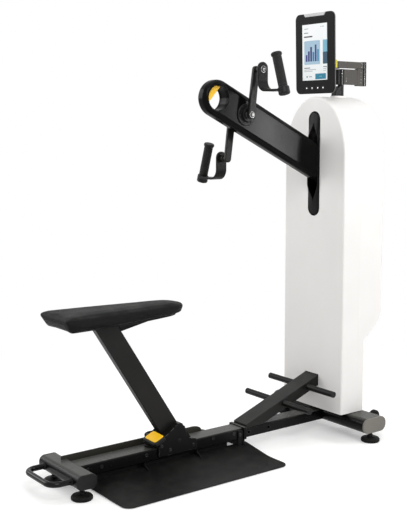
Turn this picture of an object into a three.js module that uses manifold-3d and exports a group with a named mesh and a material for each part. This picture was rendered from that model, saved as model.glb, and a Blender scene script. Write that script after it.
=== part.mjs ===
// Arm ergometer: a sit-down hand-crank trainer with a tilting boom, a rail-mounted bench seat
// and a swing-arm console. Millimetres, +Z up. +X is the user's right and +Y runs from the seat
// towards the column. Heights are from the floor, and lengths along Y are from the column's face.
import * as THREE from 'three';
import { mergeVertices } from 'three/addons/utils/BufferGeometryUtils.js';
import Module from 'manifold-3d';

const wasm = await Module();
wasm.setup();

const DEG = Math.PI / 180;
const GAP = 0.3; // clearance between pieces that touch

// Column housing
const COLUMN = { halfWidth: 170, bottom: 100, shoulder: 1115, top: 1345, depthLow: 120, depthHigh: 222,
  seam: 90 };
const SHELL = 4;
const BULGE = { bottom: 384, slopeY: 185, slopeZ: 438, full: 540 };
const SLOT = { halfWidth: 32.3, bottom: 876, top: 1288 };

// Boom, given in its own frame: the pivot is the origin and the head lies along -Y
const BOOM = { pivotY: 110, pivotZ: 1037, slope: 26, halfHeight: 67, halfWidth: 28, wall: 5, edge: 20 };
const HEAD = { capY: -669, holeY: -674.5, holeZ: -2, holeRadius: 45.5 };
const CRANK = { axisY: -534, length: 165, lean: 7.3, inner: 50, outer: 63, pulleyRadius: 50 };
const DRIVEN_PULLEY_RADIUS = 18;
const TRIGGER = { halfThickness: 14, chord: 14, tilt: 163, travel: 8 };

// Handles, given from their pivot
const GRIP = { footX: 214, headX: 170, drop: 81, rise: 54, radius: 17 };
const BRACKET = { inner: 91.5, outer: 99.5, halfWidth: 18, bend: 30, lobeTop: 24 };

// Base frame
const RAIL = { halfWidth: 36, top: 88, bottom: 44, front: -388 };
const FRONT_TUBE = { y: 87, z: 69, width: 122, height: 59, radius: 27, halfLength: 271, footX: 247 };
const REAR_TUBE = { y: -1121, z: 68, width: 76, height: 51, radius: 21, halfLength: 134.8, footX: 97 };
const FLANGE = { halfWidth: 46, bottom: 44, top: 92, thickness: 6 };
const LOWER_BEAM = { halfWidth: 34, top: 86, bottom: 46 };
const SLOPED_BEAM = { halfWidth: 39, thickness: 40, slope: 20.3, startY: -372, startTop: 98, endY: 19.7 };
const PEGS = { radius: 12, halfLength: 189, places: { upper: [-58, 196], lower: [-182, 151] } };
const FOOTPLATE = { halfWidth: 271.5, rear: -1057, front: -358.5, ridgeX: 20, ridgeTop: 27, bendX: 157,
  flatTop: 5.5, sheet: 3.5,
  rampFrom: -930, rearTop: 7 };
const SIDE_STRIP = { inner: 48.5, outer: 52, rear: -1080, front: -520, top: 105.5, foot: 46 };
const HANDLE_LOOP = { halfWidth: 94, rear: -1233, z: 67, radius: 8.5, bend: 32 };

// Seat
const POST = { footY: -684, footZ: 100, lean: 32.6, halfDepth: 39, halfWidth: 15, top: 553 };
const SEAT = { rear: -1164, nose: -655, bottomRear: 556.5, bottomNose: 568, edgeRear: 599, edgeNose: 593,
  crown: 13 };

// Console
const CONSOLE = { halfWidth: 109, bottom: 1357.5, top: 1668.5, front: -3.5, depth: 9, screenHalfWidth: 70,
  screenBottom: 1410, screenTop: 1626.5 };
const TILT_PIN = { y: 44, z: 1474.5, rest: 1.5 };
const ARM_POST = { y: 140, radius: 12, pinRadius: 8.5, shoulder: 1393 };
const ELBOW = { y: 266, radius: 13 };
const SWIVEL_Y = 104;

// Colours, sRGB
const finish = (color, roughness, metalness = 0) =>
  new THREE.MeshStandardMaterial({ color, roughness, metalness });
const BLACK_PAINT = finish(0x1d1c1b, 0.5);
const GREY_PAINT = finish(0x44413e, 0.45);
const GLOSS_BLACK = finish(0x16161a, 0.25);
const WHITE_SHELL = finish(0xe4e2e1, 0.4);
const RUBBER = finish(0x161616, 0.85);
const LEATHERETTE = finish(0x2b2b2c, 0.65);
const STEEL = finish(0x9a9a9c, 0.35, 0.9);
const SIGNAL_YELLOW = finish(0xf6b800, 0.45);
const SCREEN_GLASS = finish(0xdfe9ee, 0.15);
const LIGHT_BAR = finish(0xe9ecee, 0.4);

// Solids and the operations on them

function toSolid(geometry) {
  const bare = geometry.clone();
  bare.deleteAttribute('normal');
  bare.deleteAttribute('uv');
  const merged = mergeVertices(bare, 1e-3);
  const index = merged.index.array;
  const kept = [];
  for (let i = 0; i < index.length; i += 3) {
    const [a, b, c] = [index[i], index[i + 1], index[i + 2]];
    if (a !== b && b !== c && c !== a) kept.push(a, b, c);
  }
  return new wasm.Manifold(new wasm.Mesh({
    numProp: 3,
    vertProperties: new Float32Array(merged.attributes.position.array),
    triVerts: new Uint32Array(kept),
  }));
}

function toGeometry(solid) {
  const { vertProperties, triVerts } = solid.getMesh();
  const geometry = new THREE.BufferGeometry();
  geometry.setAttribute('position', new THREE.BufferAttribute(vertProperties, 3));
  geometry.setIndex(new THREE.BufferAttribute(triVerts, 1));
  geometry.computeVertexNormals();
  return geometry;
}

const cut = (body, ...tools) =>
  toGeometry(tools.reduce((solid, tool) => solid.subtract(toSolid(tool)), toSolid(body)));
const join = (body, ...parts) =>
  toGeometry(parts.reduce((solid, part) => solid.add(toSolid(part)), toSolid(body)));
const common = (a, b) => toGeometry(toSolid(a).intersect(toSolid(b)));

// Profiles pushed along an axis, with an optional rounded edge at both ends

function extruded(shape, length, edge, curveSegments = 5) {
  const geometry = new THREE.ExtrudeGeometry(shape, {
    depth: length - 2 * edge,
    curveSegments,
    bevelEnabled: edge > 0,
    bevelThickness: edge,
    bevelSize: edge,
    bevelOffset: -edge,
    bevelSegments: edge > 10 ? 3 : edge > 4 ? 2 : 1,
  });
  return geometry.translate(0, 0, edge);
}

// The shape's own axes are Y and Z
function alongX(shape, from, to, edge = 0, curveSegments) {
  const turn = new THREE.Matrix4().set(0, 0, 1, 0, 1, 0, 0, 0, 0, 1, 0, 0, 0, 0, 0, 1);
  return extruded(shape, to - from, edge, curveSegments).applyMatrix4(turn).translate(from, 0, 0);
}

// The shape's own axes are X and Z
function alongY(shape, from, to, edge = 0, curveSegments) {
  return extruded(shape, to - from, edge, curveSegments).rotateX(Math.PI / 2).translate(0, to, 0);
}

function alongZ(shape, from, to, edge = 0, curveSegments) {
  return extruded(shape, to - from, edge, curveSegments).translate(0, 0, from);
}

const box = (x0, x1, y0, y1, z0, z1) =>
  new THREE.BoxGeometry(x1 - x0, y1 - y0, z1 - z0).translate((x0 + x1) / 2, (y0 + y1) / 2, (z0 + z1) / 2);

const rodX = (radius, from, to, y = 0, z = 0, sides = 16) =>
  new THREE.CylinderGeometry(radius, radius, to - from, sides)
    .rotateZ(Math.PI / 2).translate((from + to) / 2, y, z);

const rodZ = (radius, from, to, x = 0, y = 0, sides = 16) =>
  new THREE.CylinderGeometry(radius, radius, to - from, sides)
    .rotateX(Math.PI / 2).translate(x, y, (from + to) / 2);

// A turned piece: pairs of radius and distance along its axis
const turned = (profile, sides = 24) =>
  new THREE.LatheGeometry(profile.map(([r, h]) => new THREE.Vector2(r, h)), sides);
const turnedX = (profile, sides) => turned(profile, sides).rotateZ(-Math.PI / 2);
const turnedZ = (profile, sides) => turned(profile, sides).rotateX(Math.PI / 2);

function polygon(points) {
  return new THREE.Shape(points.map(([u, v]) => new THREE.Vector2(u, v)));
}

function roundedRectangle(u0, u1, v0, v1, radius) {
  const shape = new THREE.Shape();
  shape.absarc(u1 - radius, v0 + radius, radius, -Math.PI / 2, 0);
  shape.absarc(u1 - radius, v1 - radius, radius, 0, Math.PI / 2);
  shape.absarc(u0 + radius, v1 - radius, radius, Math.PI / 2, Math.PI);
  shape.absarc(u0 + radius, v0 + radius, radius, Math.PI, Math.PI * 1.5);
  shape.closePath();
  return shape;
}

function circle(u, v, radius) {
  return new THREE.Shape().absarc(u, v, radius, 0, Math.PI * 2);
}

// Closes a stack of rings with the same number of points into one solid
function loft(rings) {
  const count = rings[0].length;
  const points = rings.flat();
  const index = [];
  for (let r = 0; r + 1 < rings.length; r += 1) {
    for (let i = 0; i < count; i += 1) {
      const a = r * count + i;
      const b = r * count + (i + 1) % count;
      index.push(a, b, b + count, a, b + count, a + count);
    }
  }
  const flat = (ring) => THREE.ShapeUtils.triangulateShape(ring, []);
  const plane = (ring) => ring.map((p) => new THREE.Vector2(p.x, p.y));
  flat(plane(rings[0])).forEach(([a, b, c]) => index.push(a, c, b));
  const last = (rings.length - 1) * count;
  flat(plane(rings.at(-1))).forEach(([a, b, c]) => index.push(last + a, last + b, last + c));
  const geometry = new THREE.BufferGeometry().setFromPoints(points);
  geometry.setIndex(index);
  return geometry;
}

// The assembly, with a helper that adds one named piece to a group

const ergometer = new THREE.Group();
const column = new THREE.Group();

function piece(group, name, geometry, material) {
  const mesh = new THREE.Mesh(toGeometry(toSolid(geometry)), material);
  mesh.name = name;
  group.add(mesh);
  return mesh;
}

const SIDES = [['left', -1], ['right', 1]];
const mirrored = (geometry, side) => (side > 0 ? geometry : toGeometry(toSolid(geometry).mirror([1, 0, 0])));

// Stabilizer tubes, with closed ends and an open stud hole over each foot

function stabilizer({ y, z, width, height, radius, halfLength, footX }) {
  const outline = (inset) => roundedRectangle(
    y - width / 2 + inset, y + width / 2 - inset, z - height / 2 + inset, z + height / 2 - inset,
      radius - inset);
  const tube = alongX(outline(0), -halfLength, halfLength, 2, 3);
  const hollow = alongX(outline(3), -halfLength + 4, halfLength - 4, 0, 2);
  const studs = [-1, 1].map((side) => rodZ(8.3, z - height, z, side * footX, y, 16));
  return cut(tube, hollow, ...studs);
}

const WHEEL = { x: 182, y: 174.5, z: 69.5, radius: 25, halfWidth: 10 };
const WHEEL_EAR = { thickness: 4, reach: 188 };

function frontStabilizer() {
  const back = FRONT_TUBE.y + FRONT_TUBE.width / 2 - 12;
  const ear = (x) =>
    alongX(roundedRectangle(back, WHEEL_EAR.reach, 55, 84, 12), x, x + WHEEL_EAR.thickness, 0, 2);
  const parts = [];
  for (const side of [-1, 1]) {
    const middle = side * WHEEL.x;
    parts.push(ear(middle - WHEEL.halfWidth - 1 - WHEEL_EAR.thickness), ear(middle + WHEEL.halfWidth + 1));
    parts.push(rodX(5, middle - WHEEL.halfWidth - 2, middle + WHEEL.halfWidth + 2, WHEEL.y, WHEEL.z, 16));
  }
  const clear = alongX(roundedRectangle(FRONT_TUBE.y - FRONT_TUBE.width / 2 + 3,
    FRONT_TUBE.y + FRONT_TUBE.width / 2 - 3,
    FRONT_TUBE.z - FRONT_TUBE.height / 2 + 3, FRONT_TUBE.z + FRONT_TUBE.height / 2 - 3, 24), -260, 260, 0, 6);
  const ears = cut(join(...parts.slice(0, 3)), clear);
  const otherEars = cut(join(...parts.slice(3)), clear);
  return join(stabilizer(FRONT_TUBE), ears, otherEars);
}

function levellingFoot(clearTop) {
  const profile = [[0, 0], [34, 0], [37, 3], [37, 11], [33, 15], [14, 17], [12, 20], [12, 27], [8, 28],
    [8, clearTop], [0, clearTop]];
  return turnedZ(profile, 20);
}

piece(ergometer, 'front_stabilizer', frontStabilizer(), BLACK_PAINT);
piece(ergometer, 'rear_stabilizer', stabilizer(REAR_TUBE), BLACK_PAINT);

for (const [end, tube] of [['front', FRONT_TUBE], ['rear', REAR_TUBE]]) {
  for (const [name, side] of SIDES) {
    const foot = piece(ergometer, `${end}_${name}_levelling_foot`,
      levellingFoot(tube.z - tube.height / 2 + 12), RUBBER);
    foot.position.set(side * tube.footX, tube.y, 0);
  }
}

for (const [name, side] of SIDES) {
  const wheel = turnedX([[5.3, -WHEEL.halfWidth], [21, -WHEEL.halfWidth], [25, -6], [25, 6],
    [21, WHEEL.halfWidth],
    [5.3, WHEEL.halfWidth], [5.3, -WHEEL.halfWidth]], 18);
  piece(ergometer, `${name}_transport_wheel`, wheel, RUBBER).position.set(side * WHEEL.x, WHEEL.y, WHEEL.z);
}

// Carrying loop behind the rear stabilizer, a bent tube with weld collars

function handleLoop() {
  const { halfWidth: w, rear, z, radius, bend } = HANDLE_LOOP;
  const start = REAR_TUBE.y - REAR_TUBE.width / 2 - GAP;
  const path = new THREE.CurvePath();
  const at = (x, y) => new THREE.Vector3(x, y, z);
  const corner = (x, y, toX, toY) => new THREE.QuadraticBezierCurve3(at(x, y), at(Math.sign(x) * w, rear),
    at(toX, toY));
  path.add(new THREE.LineCurve3(at(w, start), at(w, rear + bend)));
  path.add(corner(w, rear + bend, w - bend, rear));
  path.add(new THREE.LineCurve3(at(w - bend, rear), at(-w + bend, rear)));
  path.add(corner(-w + bend, rear, -w, rear + bend));
  path.add(new THREE.LineCurve3(at(-w, rear + bend), at(-w, start)));
  const section = polygon([...Array(10).keys()].map((i) => [radius * Math.cos(i * 36 * DEG),
    radius * Math.sin(i * 36 * DEG)]));
  const tube = new THREE.ExtrudeGeometry(section, { extrudePath: path, steps: 26, bevelEnabled: false });
  const collar = (x) => new THREE.CylinderGeometry(12.5, 12.5, 7, 16).translate(x, start - 3.5, z);
  return join(tube, collar(w), collar(-w));
}

piece(ergometer, 'carrying_loop', handleLoop(), BLACK_PAINT);

// Seat rail with its front flange, and the front frame that bolts to it

function boxTube(halfWidth, bottom, top, from, to, wall = 4, radius = 5) {
  const outer = alongY(roundedRectangle(-halfWidth, halfWidth, bottom, top, radius), from, to, 0, 2);
  const inner = alongY(roundedRectangle(-halfWidth + wall, halfWidth - wall, bottom + wall, top - wall, 2),
    from - 1, to + 1, 0, 2);
  return [outer, inner];
}

const flange = (from) => alongY(
  roundedRectangle(-FLANGE.halfWidth, FLANGE.halfWidth, FLANGE.bottom, FLANGE.top, 4), from,
    from + FLANGE.thickness, 0, 3);

function seatRail() {
  const [outer, inner] = boxTube(RAIL.halfWidth, RAIL.bottom, RAIL.top, REAR_TUBE.y, RAIL.front);
  const { y, z, width, height, radius } = REAR_TUBE;
  const cope = alongX(roundedRectangle(
    y - width / 2 - GAP, y + width / 2 + GAP, z - height / 2 - GAP, z + height / 2 + GAP, radius + GAP),
      -60, 60, 0, 3);
  const passage = box(-26, 26, RAIL.front - 1, RAIL.front + FLANGE.thickness + 1, 54, 78);
  return cut(join(cut(outer, inner, cope), flange(RAIL.front)), passage);
}

const FRONT_FRAME_Y = RAIL.front + FLANGE.thickness + GAP;

function lowerBeam() {
  const end = FRONT_TUBE.y;
  const [outer, inner] = boxTube(LOWER_BEAM.halfWidth, LOWER_BEAM.bottom, LOWER_BEAM.top, FRONT_FRAME_Y, end);
  const { y, z, width, height, radius } = FRONT_TUBE;
  const cope = alongX(roundedRectangle(
    y - width / 2 - GAP, y + width / 2 + GAP, z - height / 2 - GAP, z + height / 2 + GAP, radius + GAP),
      -60, 60, 0, 3);
  const passage = box(-26, 26, FRONT_FRAME_Y - 1, FRONT_FRAME_Y + FLANGE.thickness + 1, 54, 78);
  const boltHoles = [-356, -256].map((at) => rodX(5.5, 20, 50, at, 66, 12));
  return cut(join(cut(outer, inner, cope), flange(FRONT_FRAME_Y)), passage, ...boltHoles);
}

function slopedBeam() {
  const { halfWidth, thickness, slope, startY, startTop, endY } = SLOPED_BEAM;
  const top = (y) => startTop + (y - startY) * Math.tan(slope * DEG);
  const drop = thickness / Math.cos(slope * DEG);
  const foot = LOWER_BEAM.top + GAP;
  const run = (drop - startTop + foot) / Math.tan(slope * DEG);
  const outline = polygon([[startY, foot], [startY + run, foot], [endY, top(endY) - drop],
    [endY, top(endY)], [startY, startTop]]);
  const beam = alongX(outline, -halfWidth, halfWidth, 2.5);
  const bore = ([y, z]) => rodX(PEGS.radius + GAP, -halfWidth - 5, halfWidth + 5, y, z, 24);
  return cut(beam, ...Object.values(PEGS.places).map(bore));
}

piece(ergometer, 'seat_rail', seatRail(), GREY_PAINT);
piece(ergometer, 'lower_beam', lowerBeam(), BLACK_PAINT);
piece(ergometer, 'sloped_beam', slopedBeam(), GREY_PAINT);

for (const [name, [y, z]] of Object.entries(PEGS.places)) {
  const { radius: r, halfLength: h } = PEGS;
  const profile = [[0, -h], [r - 2, -h], [r, -h + 2], [r, h - 2], [r - 2, h], [0, h]];
  piece(ergometer, `${name}_foot_peg`, turnedX(profile, 20), BLACK_PAINT).position.set(0, y, z);
}

// Footplate: one sheet, flat at both sides and folded up to a ridge under the rail, with ribs and saddles

function footplateTop(x, y = 0) {
  const { ridgeX, ridgeTop, bendX, flatTop, rear, rearTop, rampFrom } = FOOTPLATE;
  const share = THREE.MathUtils.clamp((bendX - Math.abs(x)) / (bendX - ridgeX), 0, 1);
  return Math.min(flatTop + (ridgeTop - flatTop) * share,
    THREE.MathUtils.mapLinear(y, rear, rampFrom, rearTop, ridgeTop));
}

// Everything below the footplate's top, lowered by a drop: the ridge, cut by the ramp that it ends in
function underFootplate(drop, grow) {
  const { halfWidth, rear, front, ridgeX, bendX, rearTop, ridgeTop, rampFrom } = FOOTPLATE;
  const wide = halfWidth + grow;
  const across = [wide, bendX, ridgeX, -ridgeX, -bendX, -wide];
  const [from, to] = [rear - grow, front + grow];
  const rampTop = (y) => THREE.MathUtils.mapLinear(y, rear, rampFrom, rearTop, ridgeTop) - drop;
  const ridge = alongY(polygon([[-wide, -30], [wide, -30],
    ...across.map((x) => [x, footplateTop(x) - drop])]), from, to);
  return common(ridge, alongX(polygon([[from, -30], [to, -30], [to, rampTop(to)], [from, rampTop(from)]]),
    -wide - 1, wide + 1));
}

function footplate() {
  const { halfWidth, rear, front, rampFrom, sheet } = FOOTPLATE;
  const folded = cut(underFootplate(0, 5), underFootplate(sheet, 8));
  const plan = roundedRectangle(-halfWidth, halfWidth, rear, front, 32);
  const trimmed = common(folded, alongZ(plan, -5, 60, 0, 4));
  const notched = cut(trimmed, box(-18, 18, -445, front + 5, -5, 60));
  const under = RAIL.bottom - GAP;
  const rib = (y) => alongY(polygon([[-72, footplateTop(72) - 1], [-18, footplateTop(18) - 1],
    [18, footplateTop(18) - 1],
    [72, footplateTop(72) - 1], [34, 38], [34, under], [-34, under], [-34, 38]]), y, y + 4);
  const web = (from, to, lift, top, half) => alongX(polygon([[from, footplateTop(0, from) + lift],
    [rampFrom, footplateTop(0) + lift], [to, footplateTop(0) + lift], [to, top], [from, top]]), -half, half);
  const { halfWidth: w } = RAIL;
  const saddle = join(alongY(polygon([[-41, 22], [41, 22], [41, 82], [w + GAP, 82], [w + GAP, under],
    [-w - GAP, under], [-w - GAP, 82],
    [-41, 82]]), -412, RAIL.front - GAP), box(-41, 41, -395, -381, 22, under));
  const rearBlock = box(-34, 34, -1046, -1022, footplateTop(0, -1046) - 1, under);
  return cut(join(notched, rib(-832), rib(-602), web(-1030, -445, -1, under, 14), saddle, rearBlock),
    web(-1021, -440, 0.2, under - 3, 11));
}

piece(ergometer, 'footplate', footplate(), BLACK_PAINT);

// Upright strip along the rail's left side, on an angled foot
function railSideStrip() {
  const { inner, outer, rear, front, top, foot } = SIDE_STRIP;
  const outline = new THREE.Shape();
  outline.moveTo(rear, foot);
  outline.lineTo(front, foot);
  outline.lineTo(front, 86);
  outline.quadraticCurveTo(front - 4, top - 3, front - 38, top);
  outline.lineTo(rear, top);
  outline.closePath();
  return join(alongX(outline, -outer, -inner, 0.8, 4),
    box(-inner - 1, -RAIL.halfWidth - GAP, rear, front, foot, foot + 3.5));
}

piece(ergometer, 'rail_side_strip', railSideStrip(), GREY_PAINT);

// Column housing: an arched front shell and a rear shell that swells into a bulge

function arch(inset, bottom = COLUMN.bottom) {
  const { halfWidth, shoulder, top } = COLUMN;
  const shape = new THREE.Shape();
  shape.moveTo(-halfWidth + inset, bottom);
  shape.lineTo(halfWidth - inset, bottom);
  shape.lineTo(halfWidth - inset, shoulder);
  shape.absellipse(0, shoulder, halfWidth - inset, top - shoulder - inset, 0, Math.PI, false, 0);
  shape.closePath();
  return shape;
}

function sideProfile(inset) {
  const { bottom, top, depthLow, depthHigh, seam } = COLUMN;
  const { bottom: floor, slopeY, slopeZ, full } = BULGE;
  const back = depthHigh - inset;
  const foot = bottom - (inset ? 5 : 0);
  const [startY, startZ] = [slopeY - 0.64 * inset, slopeZ + 0.77 * inset];
  const shape = new THREE.Shape();
  shape.moveTo(seam - 5, foot);
  shape.lineTo(depthLow - inset, foot);
  shape.lineTo(depthLow - inset, floor + 0.47 * inset);
  shape.lineTo(startY, startZ);
  shape.bezierCurveTo(startY + 21.5, startZ + 17.9, back, full - 45, back, full);
  shape.lineTo(back, top - 75);
  shape.bezierCurveTo(back, top - 25, back - 25, top + 5, back - 75, top + 5);
  shape.lineTo(seam - 5, top + 5);
  shape.closePath();
  return shape;
}

const slotOutline = (grow) => roundedRectangle(
  -SLOT.halfWidth - grow, SLOT.halfWidth + grow, SLOT.bottom - grow, SLOT.top + grow, SLOT.halfWidth + grow);

function frontShell() {
  const rounded = common(alongY(arch(0, COLUMN.bottom - 20), 0, COLUMN.seam + 20, 7, 12),
    box(-200, 200, -10, COLUMN.seam - GAP / 2, COLUMN.bottom, COLUMN.top + 10));
  const hollow = alongY(arch(SHELL, COLUMN.bottom - 5), SHELL, COLUMN.seam + 5, 0, 12);
  const slot = alongY(slotOutline(GAP), -5, 10, 0, 4);
  const { halfWidth, thickness, slope, startY, startTop } = SLOPED_BEAM;
  const top = startTop - startY * Math.tan(slope * DEG);
  const beamHole = box(-halfWidth - GAP, halfWidth + GAP, -5, 10,
    top - thickness / Math.cos(slope * DEG) - 1, top + 2.5);
  return cut(rounded, hollow, slot, beamHole);
}

function rearShell() {
  const from = COLUMN.seam + GAP / 2;
  const rounded = common(alongY(arch(0, COLUMN.bottom - 20), from - 20, COLUMN.depthHigh, 12, 12),
    box(-200, 200, from, COLUMN.depthHigh + 5, COLUMN.bottom, COLUMN.top + 10));
  const outer = common(rounded, alongX(sideProfile(0), -200, 200, 0, 6));
  const inner = common(alongY(arch(SHELL, COLUMN.bottom - 5), from - 5, COLUMN.depthHigh, 0, 12),
    alongX(sideProfile(SHELL), -200, 200, 0, 6));
  const boss = alongZ(roundedRectangle(-19, 19, 93, 160, 14), COLUMN.top - 5, COLUMN.top + 5, 1.5, 4);
  const postHole = rodZ(ARM_POST.radius + 1, COLUMN.top - 30, COLUMN.top + 10, 0, ARM_POST.y, 24);
  return cut(join(cut(outer, inner), boss), postHole);
}

// Rubber lips that close the slot and part round the boom

function slotLip(side) {
  const openFrom = 1004;
  const openTo = 1174;
  const sheet = 1.2;
  const rings = [];
  for (let i = 0; i <= 20; i += 1) {
    const z = SLOT.bottom + 6 + (SLOT.top - SLOT.bottom - 12) * i / 20;
    const away = Math.max(openFrom - z, z - openTo, 0);
    const open = THREE.MathUtils.smoothstep(1 - away / 75, 0, 1);
    const proud = THREE.MathUtils.smoothstep(1 - away / 115, 0, 1);
    const toEnd = Math.min(z - SLOT.bottom, SLOT.top - z) - 3;
    const round = SLOT.halfWidth - 3;
    const root = toEnd < round ? Math.sqrt(round ** 2 - (round - toEnd) ** 2) : round + 0.8;
    const free = Math.min(0.4 + open * (BOOM.halfWidth + sheet - 0.1), root - 0.5);
    const forward = -2 - 7 * proud;
    const at = (t, shift) => {
      const x = (1 - t) ** 2 * root + 2 * t * (1 - t) * (root - 1 + open) + t * t * free;
      const y = (1 - t) ** 2 * 2 + 2 * t * (1 - t) * (forward * 0.9) + t * t * forward;
      return new THREE.Vector3(side * (x - shift * open), y + shift * (1 - open), z);
    };
    const stations = [0, 0.35, 0.7, 1];
    rings.push([...stations.map((t) => at(t, 0)), ...stations.map((t) => at(t, sheet)).reverse()]);
  }
  const ordered = side < 0 ? rings : rings.map((ring) => ring.reverse());
  return loft(ordered);
}

piece(column, 'front_shell', frontShell(), WHITE_SHELL);
piece(column, 'rear_shell', rearShell(), WHITE_SHELL);

function slotTrim() {
  const rim = slotOutline(0);
  rim.holes.push(slotOutline(-1.8));
  const flangeRing = slotOutline(6);
  flangeRing.holes.push(slotOutline(-1.8));
  return join(alongY(rim, -1, SHELL + 1, 0, 4), alongY(flangeRing, SHELL + GAP, SHELL + 3, 0, 4));
}

piece(column, 'slot_trim', slotTrim(), RUBBER);
for (const [name, side] of SIDES) piece(column, `${name}_slot_lip`, slotLip(side), RUBBER);

// Steel structure inside the housing

function columnSpine() {
  const tube = roundedRectangle(-62, 62, 20, 106, 6);
  tube.holes.push(roundedRectangle(-57, 57, 25, 101, 3));
  const foot = alongZ(roundedRectangle(-160, 160, 8, 113, 8), FRONT_TUBE.z + FRONT_TUBE.height / 2 + GAP,
    108, 0, 2);
  return join(alongZ(tube, 106, 760, 0, 2), foot);
}

const HUB = { radius: 25, inner: 20, flangeRadius: 40, bore: 10.4 };
const CHEEK = { inner: 62.3, outer: 68.3 };

function pivotCheek(side) {
  const outline = polygon([[24, 560], [100, 560], [178, 700], [178, 1090], [150, 1130], [24, 1130]]);
  const plate = alongX(outline, CHEEK.inner, CHEEK.outer);
  const hub = turnedX([[HUB.bore, HUB.inner], [HUB.radius, HUB.inner], [HUB.radius, 52],
    [HUB.flangeRadius, 54],
    [HUB.flangeRadius, CHEEK.inner + 1], [HUB.radius, CHEEK.inner + 1], [HUB.radius, 73], [HUB.bore, 73],
      [HUB.bore, HUB.inner]], 20)
    .translate(0, BOOM.pivotY, BOOM.pivotZ);
  const window = alongX(roundedRectangle(60, 150, 780, 930, 20), 50, 80, 0, 2);
  const clear = rodX(HUB.bore, 0, 100, BOOM.pivotY, BOOM.pivotZ, 28);
  return mirrored(cut(join(cut(plate, window), hub), clear), side);
}

piece(column, 'column_spine', columnSpine(), BLACK_PAINT);
for (const [name, side] of SIDES) piece(column, `${name}_pivot_cheek`, pivotCheek(side), BLACK_PAINT);

function armPost() {
  const bridge = box(-67, 67, 112, 168, 1130.3, 1138);
  const { y, radius, pinRadius, shoulder } = ARM_POST;
  return join(bridge, rodZ(radius, 1134, shoulder, 0, y, 24), rodZ(pinRadius, shoulder - 2, 1456, 0, y, 20));
}

function armPostCowl() {
  const outline = polygon([[100, 1350.3], [133, 1350.3], [133, 1389], [122, 1389], [102, 1368]]);
  return cut(alongX(outline, -13, 13, 2.5), rodZ(ARM_POST.radius + GAP, 1330, 1400, 0, ARM_POST.y, 24));
}

piece(column, 'console_arm_post', armPost(), GREY_PAINT);
piece(column, 'arm_post_cowl', armPostCowl(), BLACK_PAINT);
piece(column, 'brake_controller', alongX(roundedRectangle(34, 98, 480, 640, 6), -120, -68.8, 2, 2),
  BLACK_PAINT);
ergometer.add(column);

// Flywheel and driven pulley on the boom's pivot axis

const drive = new THREE.Group();
drive.position.set(0, BOOM.pivotY, BOOM.pivotZ);
const shaftProfile = [[0, -76], [10, -76], [10, -9], [24, -9], [24, -7], [DRIVEN_PULLEY_RADIUS, -7],
  [DRIVEN_PULLEY_RADIUS, 7], [24, 7], [24, 9], [10, 9], [10, 104], [0, 104]];
piece(drive, 'driven_pulley_shaft', turnedX(shaftProfile, 20), STEEL);
const flywheelProfile = [[10.3, 76], [22, 76], [22, 82], [70, 84], [72, 78], [92, 78], [92, 100], [72, 100],
  [70, 94], [22, 96],
  [22, 101], [10.3, 101], [10.3, 76]];
piece(drive, 'flywheel', turnedX(flywheelProfile, 24), STEEL);
column.add(drive);

// Boom: a hollow beam with rounded edges, a grip hole in its head and the belt drive inside

const boom = new THREE.Group();
boom.position.set(0, BOOM.pivotY, BOOM.pivotZ);
boom.rotation.x = -BOOM.slope * DEG;

function stadium(fromY, toY, radius) {
  const shape = new THREE.Shape();
  shape.absarc(toY, 0, radius, -Math.PI / 2, Math.PI / 2);
  shape.absarc(fromY, 0, radius, Math.PI / 2, Math.PI * 1.5);
  shape.closePath();
  return shape;
}

function triggerDirection() {
  return [Math.cos(TRIGGER.tilt * DEG), Math.sin(TRIGGER.tilt * DEG)];
}

function boomHousing() {
  const { halfHeight, halfWidth, wall, edge } = BOOM;
  const body = alongX(stadium(HEAD.capY, 0, halfHeight), -halfWidth, halfWidth, edge, 10);
  const rim = alongX(circle(HEAD.holeY, HEAD.holeZ, HEAD.holeRadius + 6), -halfWidth - 1, halfWidth + 1, 1,
    12);
  const hollow = alongX(stadium(CRANK.axisY, 0, halfHeight - wall), -halfWidth + wall, halfWidth - wall, 0,
    7);
  const hole = alongX(circle(HEAD.holeY, HEAD.holeZ, HEAD.holeRadius), -60, 60, 0, 10);
  const [dy, dz] = triggerDirection();
  const travel = TRIGGER.travel + 1.2;
  const reach = TRIGGER.halfThickness + GAP;
  const pocket = alongX(circle(HEAD.holeY + travel * dy, HEAD.holeZ + travel * dz, HEAD.holeRadius), -reach,
    reach, 0, 10);
  const bearingSeat = rodX(20, -60, 60, CRANK.axisY, 0);
  const pivotBore = rodX(HUB.radius + GAP, -60, 60, 0, 0, 28);
  return cut(join(body, rim), hollow, hole, pocket, bearingSeat, pivotBore);
}

function releaseTrigger() {
  const radius = HEAD.holeRadius - GAP;
  const half = Math.acos(TRIGGER.chord / radius);
  const shape = new THREE.Shape().absarc(0, 0, radius, TRIGGER.tilt * DEG - half, TRIGGER.tilt * DEG + half,
    false);
  shape.closePath();
  return alongX(shape, -TRIGGER.halfThickness, TRIGGER.halfThickness, 2, 6)
    .translate(0, HEAD.holeY, HEAD.holeZ);
}

// The belt's outline wraps both pulleys at a given distance from their rims
function beltLoop(offset) {
  const large = CRANK.pulleyRadius + offset;
  const small = DRIVEN_PULLEY_RADIUS + offset;
  const lean = Math.asin((large - small) / Math.abs(CRANK.axisY));
  const shape = new THREE.Shape();
  shape.absarc(0, 0, small, -Math.PI / 2 + lean, Math.PI / 2 - lean);
  shape.absarc(CRANK.axisY, 0, large, Math.PI / 2 - lean, Math.PI * 1.5 + lean);
  shape.closePath();
  return shape;
}

function driveBelt() {
  const loop = beltLoop(5);
  loop.holes.push(beltLoop(1));
  return alongX(loop, -6.5, 6.5, 0, 7);
}

piece(boom, 'boom_housing', boomHousing(), GLOSS_BLACK);
piece(boom, 'boom_release_trigger', releaseTrigger(), SIGNAL_YELLOW);
piece(boom, 'drive_belt', driveBelt(), RUBBER);

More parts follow.
